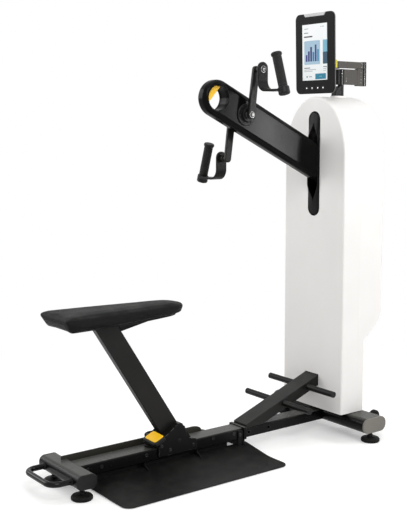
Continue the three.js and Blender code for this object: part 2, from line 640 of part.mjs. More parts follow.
for (const [name, side] of SIDES) {
  const face = BOOM.halfWidth + GAP;
  const cover = turnedX([[12.4, face - 4], [19.2, face - 4], [19.2, face], [41, face], [41, face + 3],
    [39, face + 4.5], [27, face + 4.5],
    [25, face + 15], [12.4, face + 15], [12.4, face - 4]], 20);
  piece(boom, `${name}_crank_bearing`, mirrored(cover, side), BLACK_PAINT).position.set(0, CRANK.axisY, 0);
}

// Cranks on one axle, half a turn apart

const cranks = new THREE.Group();
cranks.position.set(0, CRANK.axisY, 0);
cranks.rotation.x = (BOOM.slope - CRANK.lean) * DEG;
const { pulleyRadius } = CRANK;
const axleProfile = [[0, -64.5], [9, -64.5], [9, -49.5], [12, -49.5], [12, -10], [53.5, -10], [53.5, -8.5],
  [pulleyRadius, -7.5],
  [pulleyRadius, 7.5], [53.5, 8.5], [53.5, 10], [12, 10], [12, 49.5], [9, 49.5], [9, 64.5], [0, 64.5]];
piece(cranks, 'crank_axle', turnedX(axleProfile, 20), STEEL);

function crankArm(side) {
  const { inner, outer, length } = CRANK;
  const arm = new THREE.Shape();
  arm.absarc(0, 0, 14.5, 170 * DEG, 370 * DEG);
  arm.absarc(0, length, 10.5, 0, 180 * DEG);
  arm.closePath();
  const body = alongX(arm, inner, outer, 2.5, 5);
  const bore = rodX(9 + GAP, inner - 5, outer + 5);
  const spindle = turnedX([[0, outer - 6], [9, outer - 6], [9, outer + 12], [13, outer + 13],
    [13, BRACKET.inner - GAP],
    [7, BRACKET.inner - GAP], [7, BRACKET.outer + 1], [0, BRACKET.outer + 1]], 16).translate(0, 0, length);
  const right = join(cut(body, bore), spindle);
  return side > 0 ? right : toGeometry(toSolid(right).mirror([1, 0, 0])).rotateX(Math.PI);
}

for (const [name, side] of SIDES) piece(cranks, `${name}_crank`, crankArm(side), BLACK_PAINT);

// Handles that hang from the crank ends: a bent strip with a grip standing on it

function handleBracket() {
  const { inner, outer, halfWidth, bend, lobeTop } = BRACKET;
  const thickness = outer - inner;
  const { footX, headX, drop, rise } = GRIP;
  const strip = new THREE.Shape();
  strip.moveTo(inner, 30);
  strip.lineTo(inner, -drop + bend);
  strip.absarc(inner + bend, -drop + bend, bend, Math.PI, Math.PI * 1.5);
  strip.lineTo(footX, -drop);
  strip.lineTo(footX, -drop + thickness);
  strip.absarc(inner + bend, -drop + bend, bend - thickness, Math.PI * 1.5, Math.PI, true);
  strip.lineTo(outer, 30);
  strip.closePath();
  const folded = alongY(strip, -halfWidth, halfWidth, 0, 3);
  const lobe = new THREE.Shape();
  lobe.absarc(0, lobeTop - halfWidth, halfWidth, 0, Math.PI);
  lobe.lineTo(-halfWidth, -drop - 5);
  lobe.lineTo(halfWidth, -drop - 5);
  lobe.closePath();
  const rounded = common(folded, alongX(lobe, inner - 5, footX + 5, 0, 5));
  const lean = Math.atan2(footX - headX, drop + rise);
  const stand = turned([[0, -12], [19, -12], [21, -9], [21, 13], [18, 16], [9.5, 16], [9.5, 138], [0, 138]],
    20)
    .rotateX(Math.PI / 2).rotateY(-lean).translate(footX, 0, -drop);
  return cut(join(rounded, stand), rodX(7 + GAP, 0, 120, 0, 0, 20));
}

function handGrip() {
  const { footX, headX, drop, rise, radius } = GRIP;
  const lean = Math.atan2(footX - headX, drop + rise);
  return turned([[9.8, 16.3], [radius - 1, 16.3], [radius, 21], [radius - 0.6, 76], [radius, 130],
    [20, 135], [20, 141], [17, 144], [0, 144],
    [0, 138.3], [9.8, 138.3], [9.8, 16.3]], 18).rotateX(Math.PI / 2).rotateY(-lean).translate(footX, 0,
      -drop);
}

for (const [name, side] of SIDES) {
  const handle = new THREE.Group();
  handle.position.set(0, 0, side * CRANK.length);
  handle.rotation.x = CRANK.lean * DEG;
  piece(handle, `${name}_handle_bracket`, mirrored(handleBracket(), side), BLACK_PAINT);
  piece(handle, `${name}_hand_grip`, mirrored(handGrip(), side), RUBBER);
  cranks.add(handle);
}

boom.add(cranks);
ergometer.add(boom);

// Seat carriage on the rail

const carriage = new THREE.Group();

function carriageBase() {
  const tongue = join(box(-16, 16, -804, -748, 101, 106), box(-16, 16, -760, -748, 95, 104));
  return cut(join(box(-37.9, 37.9, -762, -640, RAIL.top + 0.4, 100), tongue),
    rodZ(5.3, 90, 115, 0, -786, 16));
}

function carriagePlate(side) {
  const outline = new THREE.Shape();
  outline.moveTo(-776, 56);
  outline.lineTo(-609, 56);
  outline.lineTo(-609, 86);
  outline.quadraticCurveTo(-610, 95, -618, 97);
  outline.lineTo(-632, 99);
  outline.quadraticCurveTo(-650, 103, -655, 123);
  outline.lineTo(-662, 150);
  outline.lineTo(-691, 164);
  outline.lineTo(-748, 127);
  outline.quadraticCurveTo(-772, 131, -781, 121);
  outline.quadraticCurveTo(-783, 110, -776, 104);
  outline.closePath();
  const plate = alongX(outline, 38.3, 44, 1, 2);
  return mirrored(cut(plate, rodX(5.3, 30, 50, -772, 118, 16)), side);
}

// Points on the leaning post: its distance along the post and across it
function onPost(along, across) {
  const [s, c] = [Math.sin(POST.lean * DEG), Math.cos(POST.lean * DEG)];
  return [POST.footY - along * s + across * c, POST.footZ + along * c + across * s];
}

// Distance along the post at which a line parallel to it reaches a height
function alongAtHeight(height, across) {
  return (height - POST.footZ - across * Math.sin(POST.lean * DEG)) / Math.cos(POST.lean * DEG);
}

const POST_FOOT = 30;

function seatPost() {
  const half = POST.halfDepth;
  const outline = (across, foot, top) => polygon([onPost(foot, -across), onPost(foot, across),
    onPost(alongAtHeight(top, across), across), onPost(alongAtHeight(top, -across), -across)]);
  const outer = alongX(outline(half, POST_FOOT, POST.top), -POST.halfWidth, POST.halfWidth, 2);
  const inner = alongX(outline(half - 3, POST_FOOT - 5, POST.top - 4), -POST.halfWidth + 3,
    POST.halfWidth - 3);
  return cut(outer, inner);
}

function postSocket() {
  const across = POST.halfDepth + 6;
  const outline = polygon([onPost(alongAtHeight(100.3, -across), -across),
    onPost(alongAtHeight(100.3, across), across),
    onPost(42, across), onPost(55, across - 15), onPost(55, -across)]);
  const block = alongX(outline, -37.9, 37.9, 1.5);
  const fit = POST.halfDepth + GAP;
  const pocket = alongX(polygon([onPost(POST_FOOT - GAP, -fit), onPost(POST_FOOT - GAP, fit),
    onPost(80, fit), onPost(80, -fit)]),
    -POST.halfWidth - GAP, POST.halfWidth + GAP);
  return cut(block, pocket);
}

const underside = (y) => THREE.MathUtils.mapLinear(y, SEAT.rear, SEAT.nose, SEAT.bottomRear, SEAT.bottomNose);

function seatPan() {
  const plan = new THREE.Shape();
  plan.moveTo(-66, -1120);
  plan.lineTo(66, -1120);
  plan.bezierCurveTo(64, -980, 46, -850, 42, -750);
  plan.bezierCurveTo(40, -700, 26, -678, 0, -678);
  plan.bezierCurveTo(-26, -678, -40, -700, -42, -750);
  plan.bezierCurveTo(-46, -850, -64, -980, -66, -1120);
  const plate = polygon([[-1130, POST.top + GAP], [-850, POST.top + GAP], [-660, underside(-660) - 6],
    [-660, underside(-660) - GAP],
    [-1130, underside(-1130) - GAP]]);
  const pan = common(alongZ(plan, 500, 600, 0, 4), alongX(plate, -90, 90));
  const low = onPost(alongAtHeight(525, POST.halfDepth), POST.halfDepth + GAP);
  const high = onPost(alongAtHeight(POST.top + 3, POST.halfDepth), POST.halfDepth + GAP);
  return join(pan, alongX(polygon([low, [-768, 553], [-768, 560], high]), -14, 14));
}

// Bench cushion: wide and square behind, a narrow rounded nose, drawn in towards its base, with a soft crown
function seatCushion() {
  const plan = new THREE.Shape();
  const corner = 9;
  plan.moveTo(-92 + corner, SEAT.rear);
  plan.lineTo(92 - corner, SEAT.rear);
  plan.quadraticCurveTo(92, SEAT.rear, 92, SEAT.rear + corner);
  plan.bezierCurveTo(90, -1000, 68, -860, 60, -745);
  plan.bezierCurveTo(57, -690, 40, SEAT.nose, 0, SEAT.nose);
  plan.bezierCurveTo(-40, SEAT.nose, -57, -690, -60, -745);
  plan.bezierCurveTo(-68, -860, -90, -1000, -92, SEAT.rear + corner);
  plan.quadraticCurveTo(-92, SEAT.rear, -92 + corner, SEAT.rear);
  const points = plan.getPoints(6).slice(0, -1);
  const middle = (SEAT.rear + SEAT.nose) / 2;
  const edge = (y) => THREE.MathUtils.mapLinear(y, SEAT.rear, SEAT.nose, SEAT.edgeRear, SEAT.edgeNose);
  const halfLength = (SEAT.nose - SEAT.rear) / 2;
  const ring = (width, inset, rearInset, level, rise = 0) => points.map(({ x, y }) => {
    const share = (y - middle) / halfLength;
    const place = y - share * (share < 0 ? rearInset : inset);
    return new THREE.Vector3(x * width, place,
      THREE.MathUtils.lerp(underside(place), edge(place), level) + rise);
  });
  return loft([ring(0.87, 10, 26, 0), ring(0.9, 6, 20, 0.15), ring(0.97, 2, 9, 0.6), ring(1, 0, 0, 0.94),
    ring(0.99, 2, 2, 1, 3),
    ring(0.93, 8, 8, 1, 7), ring(0.75, 30, 28, 1, 10.5), ring(0.45, 75, 70, 1, SEAT.crown)]);
}

piece(carriage, 'carriage_base', carriageBase(), BLACK_PAINT);
for (const [name, side] of SIDES) piece(carriage, `${name}_carriage_plate`, carriagePlate(side), BLACK_PAINT);
piece(carriage, 'post_socket', postSocket(), BLACK_PAINT);
piece(carriage, 'seat_post', seatPost(), GREY_PAINT);
piece(carriage, 'seat_pan', seatPan(), BLACK_PAINT);
piece(carriage, 'seat_cushion', seatCushion(), LEATHERETTE);

// Release paddle behind the post, and the clamp foot that it lifts off the rail

const PADDLE = { pivotY: -772, pivotZ: 118, x: 40, y: -794, z: 127, pitch: 23.4, roll: 2 };

const onPaddle = (geometry) =>
  geometry.rotateX(PADDLE.pitch * DEG).rotateY(PADDLE.roll * DEG).translate(PADDLE.x, PADDLE.y, PADDLE.z);

function paddleLever() {
  const barrel = rodX(7, -37.5, 37.5, PADDLE.pivotY, PADDLE.pivotZ, 20);
  const pins = rodX(5, -43.5, 43.5, PADDLE.pivotY, PADDLE.pivotZ, 20);
  const arm = alongX(polygon([[-779, 113], [-765, 117], [-770, 127], [-782, 129], [-792, 122]]), 20, 35, 1);
  const head = onPaddle(alongZ(roundedRectangle(-40, 40, -25, 25, 9), -9, 6, 2.5, 3));
  return join(pins, barrel, arm, head);
}

function paddlePad() {
  return onPaddle(alongZ(roundedRectangle(-33.5, 33.5, -20, 20, 7), 6 + GAP, 10, 1, 3));
}

piece(carriage, 'seat_release_paddle', paddleLever(), BLACK_PAINT);
piece(carriage, 'paddle_pad', paddlePad(), SIGNAL_YELLOW);
const clampFoot = [[0, 0], [19, 0], [21, 2], [21, 6], [19, 8], [5, 8], [5, 24], [0, 24]];
piece(carriage, 'rail_clamp_foot', turnedZ(clampFoot, 20), RUBBER).position.set(0, -786, RAIL.top + GAP);
ergometer.add(carriage);

// Console on its two-link swing arm

function lowerLink() {
  const { y: postY, radius, pinRadius, shoulder } = ARM_POST;
  const bore = pinRadius + 0.4;
  const foot = shoulder + 0.4;
  const collar = turnedZ([[bore, foot], [radius, foot], [radius, 1456.5], [bore, 1456.5], [bore, foot]],
    24).translate(0, postY, 0);
  const bar = alongX(roundedRectangle(postY + 10, ELBOW.y - 10, 1395.5, 1456.5, 3), -8, 8, 2, 2);
  const block = alongX(roundedRectangle(225, ELBOW.y, 1391.5, 1460.3, 3), -9, 9, 2, 2);
  const knuckle = rodZ(ELBOW.radius, 1391.5, 1460.3, 0, ELBOW.y, 28);
  const pin = rodZ(6, 1460, 1487, 0, ELBOW.y, 20);
  return join(cut(join(collar, bar), rodZ(bore, 1380, 1470, 0, postY, 24)), block, knuckle, pin);
}

function upperLink() {
  const { y, radius } = ELBOW;
  const knuckle = turnedZ([[6.4, 1460.7], [radius, 1460.7], [radius, 1488.5], [6.4, 1488.5], [6.4, 1460.7]],
    20).translate(0, y, 0);
  const bar = alongX(roundedRectangle(SWIVEL_Y + 13, y - 10, 1461, 1487.5, 3), -8, 8, 2, 2);
  const root = box(-7, 7, SWIVEL_Y + 12.6, SWIVEL_Y + 22, 1457.4, 1466);
  const ear = join(rodZ(10.5, 1457.4, 1460.4, 0, SWIVEL_Y),
    box(-7, 7, SWIVEL_Y, SWIVEL_Y + 20, 1457.4, 1460.4));
  return cut(join(knuckle, bar, root, ear), rodZ(5.4, 1450, 1500, 0, SWIVEL_Y, 20));
}

function swivelKnuckle() {
  const barrel = turnedZ([[0, 1454], [5, 1454], [5, 1460.8], [12, 1460.8], [12, 1490.5], [10, 1492.5],
    [0, 1492.5]], 24).translate(0, SWIVEL_Y, 0);
  const { y, z } = TILT_PIN;
  const neck = box(-9, 9, y, SWIVEL_Y - 6, 1465, 1484);
  return join(barrel, neck, rodX(9, -19.5, 19.5, y, z), rodX(5, -29, 29, y, z));
}

piece(column, 'lower_arm_link', lowerLink(), GREY_PAINT);
piece(column, 'upper_arm_link', upperLink(), GREY_PAINT);
piece(column, 'swivel_knuckle', swivelKnuckle(), SIGNAL_YELLOW);

// Everything on the tilt pin is drawn upright and then leaned a little towards the seat
const screenUnit = new THREE.Group();
screenUnit.position.set(0, TILT_PIN.y, TILT_PIN.z);
screenUnit.rotation.x = TILT_PIN.rest * DEG;
const fromPin = (geometry) => geometry.translate(0, -TILT_PIN.y, -TILT_PIN.z);

function consoleOutline(inset) {
  const { halfWidth, bottom, top } = CONSOLE;
  return roundedRectangle(-halfWidth + inset, halfWidth - inset, bottom + inset, top - inset, 24 - inset / 2);
}

const notch = (grow) => polygon([[-54 - grow, CONSOLE.top - 13 - grow], [54 + grow, CONSOLE.top - 13 - grow],
  [64 + grow, CONSOLE.top + 1], [-64 - grow, CONSOLE.top + 1]]);

function consoleBezel() {
  const { front, depth, screenHalfWidth: w, screenBottom, screenTop } = CONSOLE;
  const slab = alongY(consoleOutline(0), front, front + depth, 2, 4);
  const window = box(-w - GAP, w + GAP, front - 5, front + 5, screenBottom - GAP, screenTop + GAP);
  return cut(slab, window, alongY(notch(GAP), front - 5, front + 20));
}

function consoleBack() {
  const from = CONSOLE.front + CONSOLE.depth + GAP;
  const layer = (depth, inset) =>
    consoleOutline(inset).getPoints(3).slice(0, -1).map(({ x, y }) => new THREE.Vector3(x, y, depth));
  const shell = loft([layer(-15 - from, 34), layer(-12 - from, 24), layer(-6 - from, 12),
    layer(-from, 5)]).rotateX(Math.PI / 2);
  const clear = alongY(notch(8), from - 5, from + 30);
  const { y, z } = TILT_PIN;
  const ears = [-1, 1].map((side) => alongX(roundedRectangle(14, y + 9, z - 12, z + 12, 8), side * 24.5 - 4,
    side * 24.5 + 4, 0, 2));
  return cut(join(cut(shell, clear), ...ears), rodX(5.4, -40, 40, y, z));
}

piece(screenUnit, 'console_bezel', fromPin(consoleBezel()), BLACK_PAINT);
piece(screenUnit, 'console_back', fromPin(consoleBack()), GREY_PAINT);
const { front: consoleFront, screenHalfWidth, screenBottom, screenTop } = CONSOLE;
const screen = box(-screenHalfWidth, screenHalfWidth, consoleFront + 0.5, consoleFront + 4.7, screenBottom,
  screenTop);
piece(screenUnit, 'console_screen', fromPin(screen), SCREEN_GLASS);
const barShape = polygon([[-54, CONSOLE.top - 13], [54, CONSOLE.top - 13], [63, CONSOLE.top - 0.5],
  [-63, CONSOLE.top - 0.5]]);
piece(screenUnit, 'console_light_bar', fromPin(alongY(barShape, consoleFront + 1, consoleFront + 8.5)),
  LIGHT_BAR);
column.add(screenUnit);

// The origin is on the floor under the middle of the bounding box
const REAR_END = HANDLE_LOOP.rear - HANDLE_LOOP.radius;
const FRONT_END = ELBOW.y + ELBOW.radius;
ergometer.position.y = -(REAR_END + FRONT_END) / 2;

export default ergometer;
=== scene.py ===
# Arm ergometer: finished pieces, materials, floor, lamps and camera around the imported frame
import math

import bmesh
import bpy
from mathutils import Matrix, Vector


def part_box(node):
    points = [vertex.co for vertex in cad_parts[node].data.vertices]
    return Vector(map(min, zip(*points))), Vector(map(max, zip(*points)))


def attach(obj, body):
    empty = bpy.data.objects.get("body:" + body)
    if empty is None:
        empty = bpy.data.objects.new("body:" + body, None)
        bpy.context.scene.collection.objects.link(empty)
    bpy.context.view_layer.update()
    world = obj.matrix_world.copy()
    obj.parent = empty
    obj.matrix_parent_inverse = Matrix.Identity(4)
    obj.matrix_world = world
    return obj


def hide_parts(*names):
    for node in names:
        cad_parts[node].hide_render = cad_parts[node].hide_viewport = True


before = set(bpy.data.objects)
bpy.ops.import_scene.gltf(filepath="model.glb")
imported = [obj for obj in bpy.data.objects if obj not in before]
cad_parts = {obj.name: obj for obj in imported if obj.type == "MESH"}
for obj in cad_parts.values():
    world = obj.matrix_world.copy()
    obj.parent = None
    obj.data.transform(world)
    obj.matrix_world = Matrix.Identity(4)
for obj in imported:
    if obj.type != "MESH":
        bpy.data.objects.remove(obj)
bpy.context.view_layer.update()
scene = bpy.context.scene

# Places: sizes are written in millimetres from the column's front face

mm = 0.001
faceShift = 481.25
joints = {"pivotY": 110, "pivotZ": 1037, "boomLean": -26, "axleY": -534, "crankLean": 18.7,
          "crankLength": 165, "handleLean": 7.3, "pinY": 44, "pinZ": 1474.5, "screenLean": 1.5}
sides = {"left": -1, "right": 1}


def spot(x, y, z):
    return Vector((x, y, z)) * mm


def moved(x, y, z):
    return Matrix.Translation(spot(x, y, z))


def tipped(degrees, axis="X"):
    return Matrix.Rotation(math.radians(degrees), 4, axis)


def aimed(x, y, z, direction):
    turn = Vector((0, 0, 1)).rotation_difference(Vector(direction))
    return moved(x, y, z) @ turn.to_matrix().to_4x4()


def pick(sizes, names):
    return [sizes[name] for name in names.split()]


def cosOf(degrees):
    return math.cos(math.radians(degrees))


def sinOf(degrees):
    return math.sin(math.radians(degrees))


identity = Matrix.Identity(4)
mirrored = {"left": Matrix.Scale(-1, 4, (1, 0, 0)), "right": identity}
halfTurned = {"left": tipped(180, "Z"), "right": identity}
columnPlace = moved(0, faceShift, 0)
boomPlace = columnPlace @ moved(0, joints["pivotY"], joints["pivotZ"]) @ tipped(joints["boomLean"])
crankPlace = boomPlace @ moved(0, joints["axleY"], 0) @ tipped(joints["crankLean"])
toPin = moved(0, joints["pinY"], joints["pinZ"])
fromPin = moved(0, -joints["pinY"], -joints["pinZ"])
onFrame = (columnPlace, "frame")
onBoom = (boomPlace, "boom")
onCranks = (crankPlace, "cranks")
onSeat = (columnPlace, "seat_carriage")
onConsole = (columnPlace @ toPin @ tipped(joints["screenLean"]) @ fromPin, "console")

# Mesh helpers: outlines are lists of points in millimetres, meshes are in metres

joinDistance = 2e-6
packedJoinDistance = 1e-5
flatDegrees = 0.6
bevelDegrees = 30
shareOfLeg = 0.4999


def softened(corners, steps, closed=True):
    # A corner's third number is the radius of the arc that replaces it
    ring = []
    count = len(corners)
    for i, corner in enumerate(corners):
        tip = Vector(corner[:2])
        radius = corner[2] if len(corner) > 2 else 0
        if radius <= 0 or (not closed and i in (0, count - 1)):
            ring.append(tuple(tip))
            continue
        back = Vector(corners[i - 1][:2]) - tip
        ahead = Vector(corners[(i + 1) % count][:2]) - tip
        half = back.angle(ahead) / 2
        reach = min(radius / math.tan(half), back.length * shareOfLeg, ahead.length * shareOfLeg)
        start = tip + back.normalized() * reach
        end = tip + ahead.normalized() * reach
        pull = math.sin(half)
        for step in range(steps + 1):
            t = step / steps
            weights = ((1 - t) ** 2, 2 * pull * t * (1 - t), t * t)
            ring.append(tuple((start * weights[0] + tip * weights[1] + end * weights[2]) / sum(weights)))
    return ring


def curved(*points, steps=8):
    # The points of a Bezier curve, after its first one
    ring = []
    for step in range(1, steps + 1):
        line = [Vector(point) for point in points]
        while len(line) > 1:
            line = [near.lerp(far, step / steps) for near, far in zip(line, line[1:])]
        ring.append(tuple(line[0]))
    return ring


def roundedBox(u0, u1, v0, v1, radius, steps):
    return softened([(u0, v0, radius), (u1, v0, radius), (u1, v1, radius), (u0, v1, radius)], steps)


def arcPoints(u, v, radius, start, end, steps):
    angles = [math.radians(start + (end - start) * i / steps) for i in range(steps + 1)]
    return [(u + radius * math.cos(a), v + radius * math.sin(a)) for a in angles]


def circlePoints(u, v, radius, count):
    return arcPoints(u, v, radius, 0, 360, count)[:-1]


def meshFrom(shape):
    bmesh.ops.remove_doubles(shape, verts=shape.verts, dist=joinDistance)
    bmesh.ops.recalc_face_normals(shape, faces=shape.faces)
    mesh = bpy.data.meshes.new("piece")
    shape.to_mesh(mesh)
    shape.free()
    return mesh


def cleaned(data):
    shape = bmesh.new()
    shape.from_mesh(data)
    return meshFrom(shape)


def baked(data, *modifiers):
    # The mesh that an object of this data and these modifiers shows
    holder = bpy.data.objects.new("holder", data)
    scene.collection.objects.link(holder)
    for kind, settings in modifiers:
        modifier = holder.modifiers.new(kind, kind)
        for key, value in settings.items():
            setattr(modifier, key, value)
    depsgraph = bpy.context.evaluated_depsgraph_get()
    result = bpy.data.meshes.new_from_object(holder.evaluated_get(depsgraph))
    bpy.data.objects.remove(holder)
    return cleaned(result)


axisTurn = {
    "X": Matrix(((0, 0, 1, 0), (1, 0, 0, 0), (0, 1, 0, 0), (0, 0, 0, 1))),
    "Y": Matrix(((1, 0, 0, 0), (0, 0, -1, 0), (0, 1, 0, 0), (0, 0, 0, 1))),
    "Z": identity,
}
axisVector = {"X": Vector((1, 0, 0)), "Y": Vector((0, 1, 0)), "Z": Vector((0, 0, 1))}


def plate(axis, outline, low, high, edge, holes=(), steps=3):
    # A filled outline with rounded edges, as thick as low to high along its axis
    curve = bpy.data.curves.new("outline", "CURVE")
    curve.dimensions = "2D"
    curve.fill_mode = "BOTH"
    curve.extrude = ((high - low) / 2 - edge) * mm
    curve.bevel_depth = edge * mm
    curve.bevel_resolution = steps
    curve.offset = -edge * mm
    for ring in [outline, *holes]:
        spline = curve.splines.new("POLY")
        spline.points.add(len(ring) - 1)
        for point, (u, v) in zip(spline.points, ring):
            point.co = (u * mm, v * mm, 0, 1)
        spline.use_cyclic_u = True
    mesh = baked(curve)
    middle = axisVector[axis] * (low + high) / 2 * mm
    mesh.transform(Matrix.Translation(middle) @ axisTurn[axis])
    return mesh


def sidePlate(sign, outline, inner, outer, edge):
    # A plate left or right of the middle, between two distances from it
    return plate("X", outline, *sorted((sign * inner, sign * outer)), edge)


def lathe(axis, profile, count=48):
    # The profile is a list of radius, distance along the axis and corner radius
    shape = bmesh.new()
    chain = [shape.verts.new((radius * mm, 0, along * mm)) for radius, along in softened(profile, 3, False)]
    edges = [shape.edges.new(pair) for pair in zip(chain, chain[1:])]
    bmesh.ops.spin(shape, geom=chain + edges, cent=(0, 0, 0), axis=(0, 0, 1), angle=math.tau, steps=count)
    mesh = meshFrom(shape)
    mesh.transform(tipped(-90) if axis == "Y" else axisTurn[axis])
    return mesh


def sleeve(inner, outer, low, high, start=0, end=0, mouth=0):
    # The profile of a turned ring, with the radii of its outer corners and of its inner far corner
    return [(inner, low), (outer, low, start), (outer, high, end), (inner, high, mouth), (inner, low)]


def disc(axis, radius, low, high, corner=0, count=40):
    return lathe(axis, [(0, low), (radius, low), (radius, high, corner), (0, high)], count)


def loft(rings, closed=False):
    shape = bmesh.new()
    rows = [[shape.verts.new(Vector(point) * mm) for point in ring] for ring in rings]
    pairs = list(zip(rows, rows[1:]))
    if closed:
        pairs.append((rows[-1], rows[0]))
    for near, far in pairs:
        for i in range(len(near)):
            k = (i + 1) % len(near)
            shape.faces.new((near[i], near[k], far[k], far[i]))
    if not closed:
        shape.faces.new(rows[0][::-1])
        shape.faces.new(rows[-1])
    return meshFrom(shape)


def tube(path, radius, count, up=(0, 0, 1), closed=False, swell=None):
    points = [Vector(point) for point in path]
    rings = []
    for i, point in enumerate(points):
        before = points[i - 1] if i or closed else point
        after = points[(i + 1) % len(points)] if i + 1 < len(points) or closed else point
        ahead = (after - before).normalized()
        across = ahead.cross(Vector(up)).normalized()
        top = across.cross(ahead)
        size = radius * (swell(i) if swell else 1)
        turns = [math.tau * k / count for k in range(count)]
        rings.append([point + size * (math.cos(a) * across + math.sin(a) * top) for a in turns])
    return loft(rings, closed)


def together(*meshes):
    shape = bmesh.new()
    for mesh in meshes:
        shape.from_mesh(mesh)
    mesh = bpy.data.meshes.new("piece")
    shape.to_mesh(mesh)
    shape.free()
    return mesh


def shifted(mesh, place):
    copy = mesh.copy()
    copy.transform(place)
    return copy


def turnedOut(mesh, place):
    # A shifted copy whose faces look outward, even where the place mirrors it
    return cleaned(shifted(mesh, place))


def carved(mesh, *cutters, operation="DIFFERENCE"):
    for cutter in cutters:
        tool = bpy.data.objects.new("tool", cutter)
        scene.collection.objects.link(tool)
        mesh = baked(mesh, ("BOOLEAN", {"object": tool, "operation": operation, "solver": "EXACT"}))
        bpy.data.objects.remove(tool)
    return mesh


def addPiece(name, mesh, material, stands=None, on=onFrame, sharp=34):
    place, body = on
    if isinstance(mesh, list):
        mesh = together(*mesh)
    for polygon in mesh.polygons:
        polygon.use_smooth = True
    mesh.set_sharp_from_angle(angle=math.radians(sharp))
    mesh.materials.clear()
    mesh.materials.append(material)
    piece = bpy.data.objects.new(name, mesh)
    scene.collection.objects.link(piece)
    piece.matrix_world = place
    even = piece.modifiers.new("even faces", "WEIGHTED_NORMAL")
    even.keep_sharp = True
    bpy.context.view_layer.update()
    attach(piece, body)
    if stands:
        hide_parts(stands)
    return piece


def packedShape(node):
    shape = bmesh.new()
    shape.from_mesh(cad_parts[node].data)
    bmesh.ops.remove_doubles(shape, verts=shape.verts, dist=packedJoinDistance)
    return shape


def addSolid(name, node, material, edge, segments=2, body="seat_carriage"):
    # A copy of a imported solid, with its flat faces made whole and its edges rounded
    shape = packedShape(node)
    flat = math.radians(flatDegrees)
    bmesh.ops.dissolve_limit(shape, angle_limit=flat, verts=shape.verts, edges=shape.edges)
    settings = {"width": edge * mm, "segments": segments, "limit_method": "ANGLE",
                "angle_limit": math.radians(bevelDegrees), "miter_outer": "MITER_ARC"}
    mesh = baked(meshFrom(shape), ("BEVEL", settings))
    addPiece(name, mesh, material, node, (identity, body))


# Material helpers


def srgb(tone):
    tones = [value / 255 for value in tone]
    return tuple(t / 12.92 if t <= 0.04045 else ((t + 0.055) / 1.055) ** 2.4 for t in tones) + (1,)


def plug(tree, node, inputs):
    # Sockets are linked and plain values are set
    for key, value in inputs.items():
        if isinstance(value, bpy.types.NodeSocket):
            tree.links.new(value, node.inputs[key])
        else:
            node.inputs[key].default_value = value
    return node.outputs


def addNode(tree, kind, inputs=None, **settings):
    node = tree.nodes.new("ShaderNode" + kind)
    for key, value in settings.items():
        setattr(node, key, value)
    return plug(tree, node, inputs or {})


def mathNode(tree, operation, *values):
    return addNode(tree, "Math", dict(enumerate(values)), operation=operation)[0]


def times(tree, first, second):
    return mathNode(tree, "MULTIPLY", first, second)


def blend(tree, share, first, second):
    return addNode(tree, "Mix", {0: share, 6: first, 7: second}, data_type="RGBA")[2]


def ramp(tree, value, low, high, toLow=0.0, toHigh=1.0):
    inputs = {"Value": value, "From Min": low, "From Max": high, "To Min": toLow, "To Max": toHigh}
    return addNode(tree, "MapRange", inputs)[0]


def objectSpace(tree):
    return addNode(tree, "TexCoord")["Object"]


def noise(tree, where, scale, detail=2.0):
    return addNode(tree, "TexNoise", {"Vector": where, "Scale": scale, "Detail": detail})[0]


def newMaterial(name):
    material = bpy.data.materials.new(name)
    material.use_nodes = True
    tree = material.node_tree
    return material, tree, tree.nodes["Principled BSDF"]


def newGroup(name, inputs, outputs):
    group = bpy.data.node_groups.new(name, "ShaderNodeTree")
    for label, value in inputs.items():
        socket = group.interface.new_socket(label, in_out="INPUT", socket_type="NodeSocketFloat")
        socket.default_value = value
    for label, kind in outputs.items():
        group.interface.new_socket(label, in_out="OUTPUT", socket_type="NodeSocket" + kind)
    return group, group.nodes.new("NodeGroupInput").outputs, group.nodes.new("NodeGroupOutput")


def makeGrain():
    # Broad tone, fine grain and the bump that the fine grain gives
    outputs = {"Tone": "Float", "Grain": "Float", "Normal": "Vector"}
    group, given, leave = newGroup("surface grain", {"Cells": 900.0, "Depth": 0.0001}, outputs)
    where = objectSpace(group)
    fine = noise(group, where, given["Cells"])
    plug(group, leave, {
        "Tone": ramp(group, noise(group, where, 6.0, 4.0), 0.3, 0.7),
        "Grain": ramp(group, fine, 0.35, 0.65),
        "Normal": addNode(group, "Bump", {"Height": fine, "Distance": given["Depth"]})[0],
    })
    return group


def makeMarks():
    # Rubbed edges, which some finishes also use as a painted edge highlight, light scuffs, dust on what faces
    # up, and how far it faces up, which sets painted top light
    group, _, leave = newGroup("handling marks", {}, dict.fromkeys(("Edge", "Scuff", "Dust", "Up"), "Float"))
    coordinates = addNode(group, "TexCoord")
    where = coordinates["Object"]
    softNormal = addNode(group, "Bevel", {"Radius": 0.0022}, samples=4)[0]
    normals = {0: softNormal, 1: addNode(group, "NewGeometry")["Normal"]}
    facing = addNode(group, "VectorMath", normals, operation="DOT_PRODUCT")["Value"]
    patchy = ramp(group, noise(group, where, 60.0, 5.0), 0.42, 0.66)
    stretch = {"Vector": where, "Rotation": (0.4, 0.2, 0.9), "Scale": (4, 70, 12)}
    stretched = addNode(group, "Mapping", stretch)[0]
    up = addNode(group, "SeparateXYZ", {0: coordinates["Normal"]})["Z"]
    film = ramp(group, noise(group, where, 22.0, 6.0), 0.4, 0.75)
    plug(group, leave, {
        "Edge": times(group, ramp(group, facing, 0.99, 0.9), patchy),
        "Scuff": ramp(group, noise(group, stretched, 5.0, 3.0), 0.64, 0.72),
        "Dust": times(group, ramp(group, up, 0.5, 1.0), film),
        "Up": ramp(group, up, 0.7, 0.98),
    })
    return group


dustTone = (176, 170, 160)
scuffRoughness = 0.08
grainGroup = makeGrain()
marksGroup = makeMarks()


def addGrain(tree, cells, depth):
    return addNode(tree, "Group", {"Cells": cells, "Depth": depth}, node_tree=grainGroup)


def addMarks(tree):
    return addNode(tree, "Group", node_tree=marksGroup)


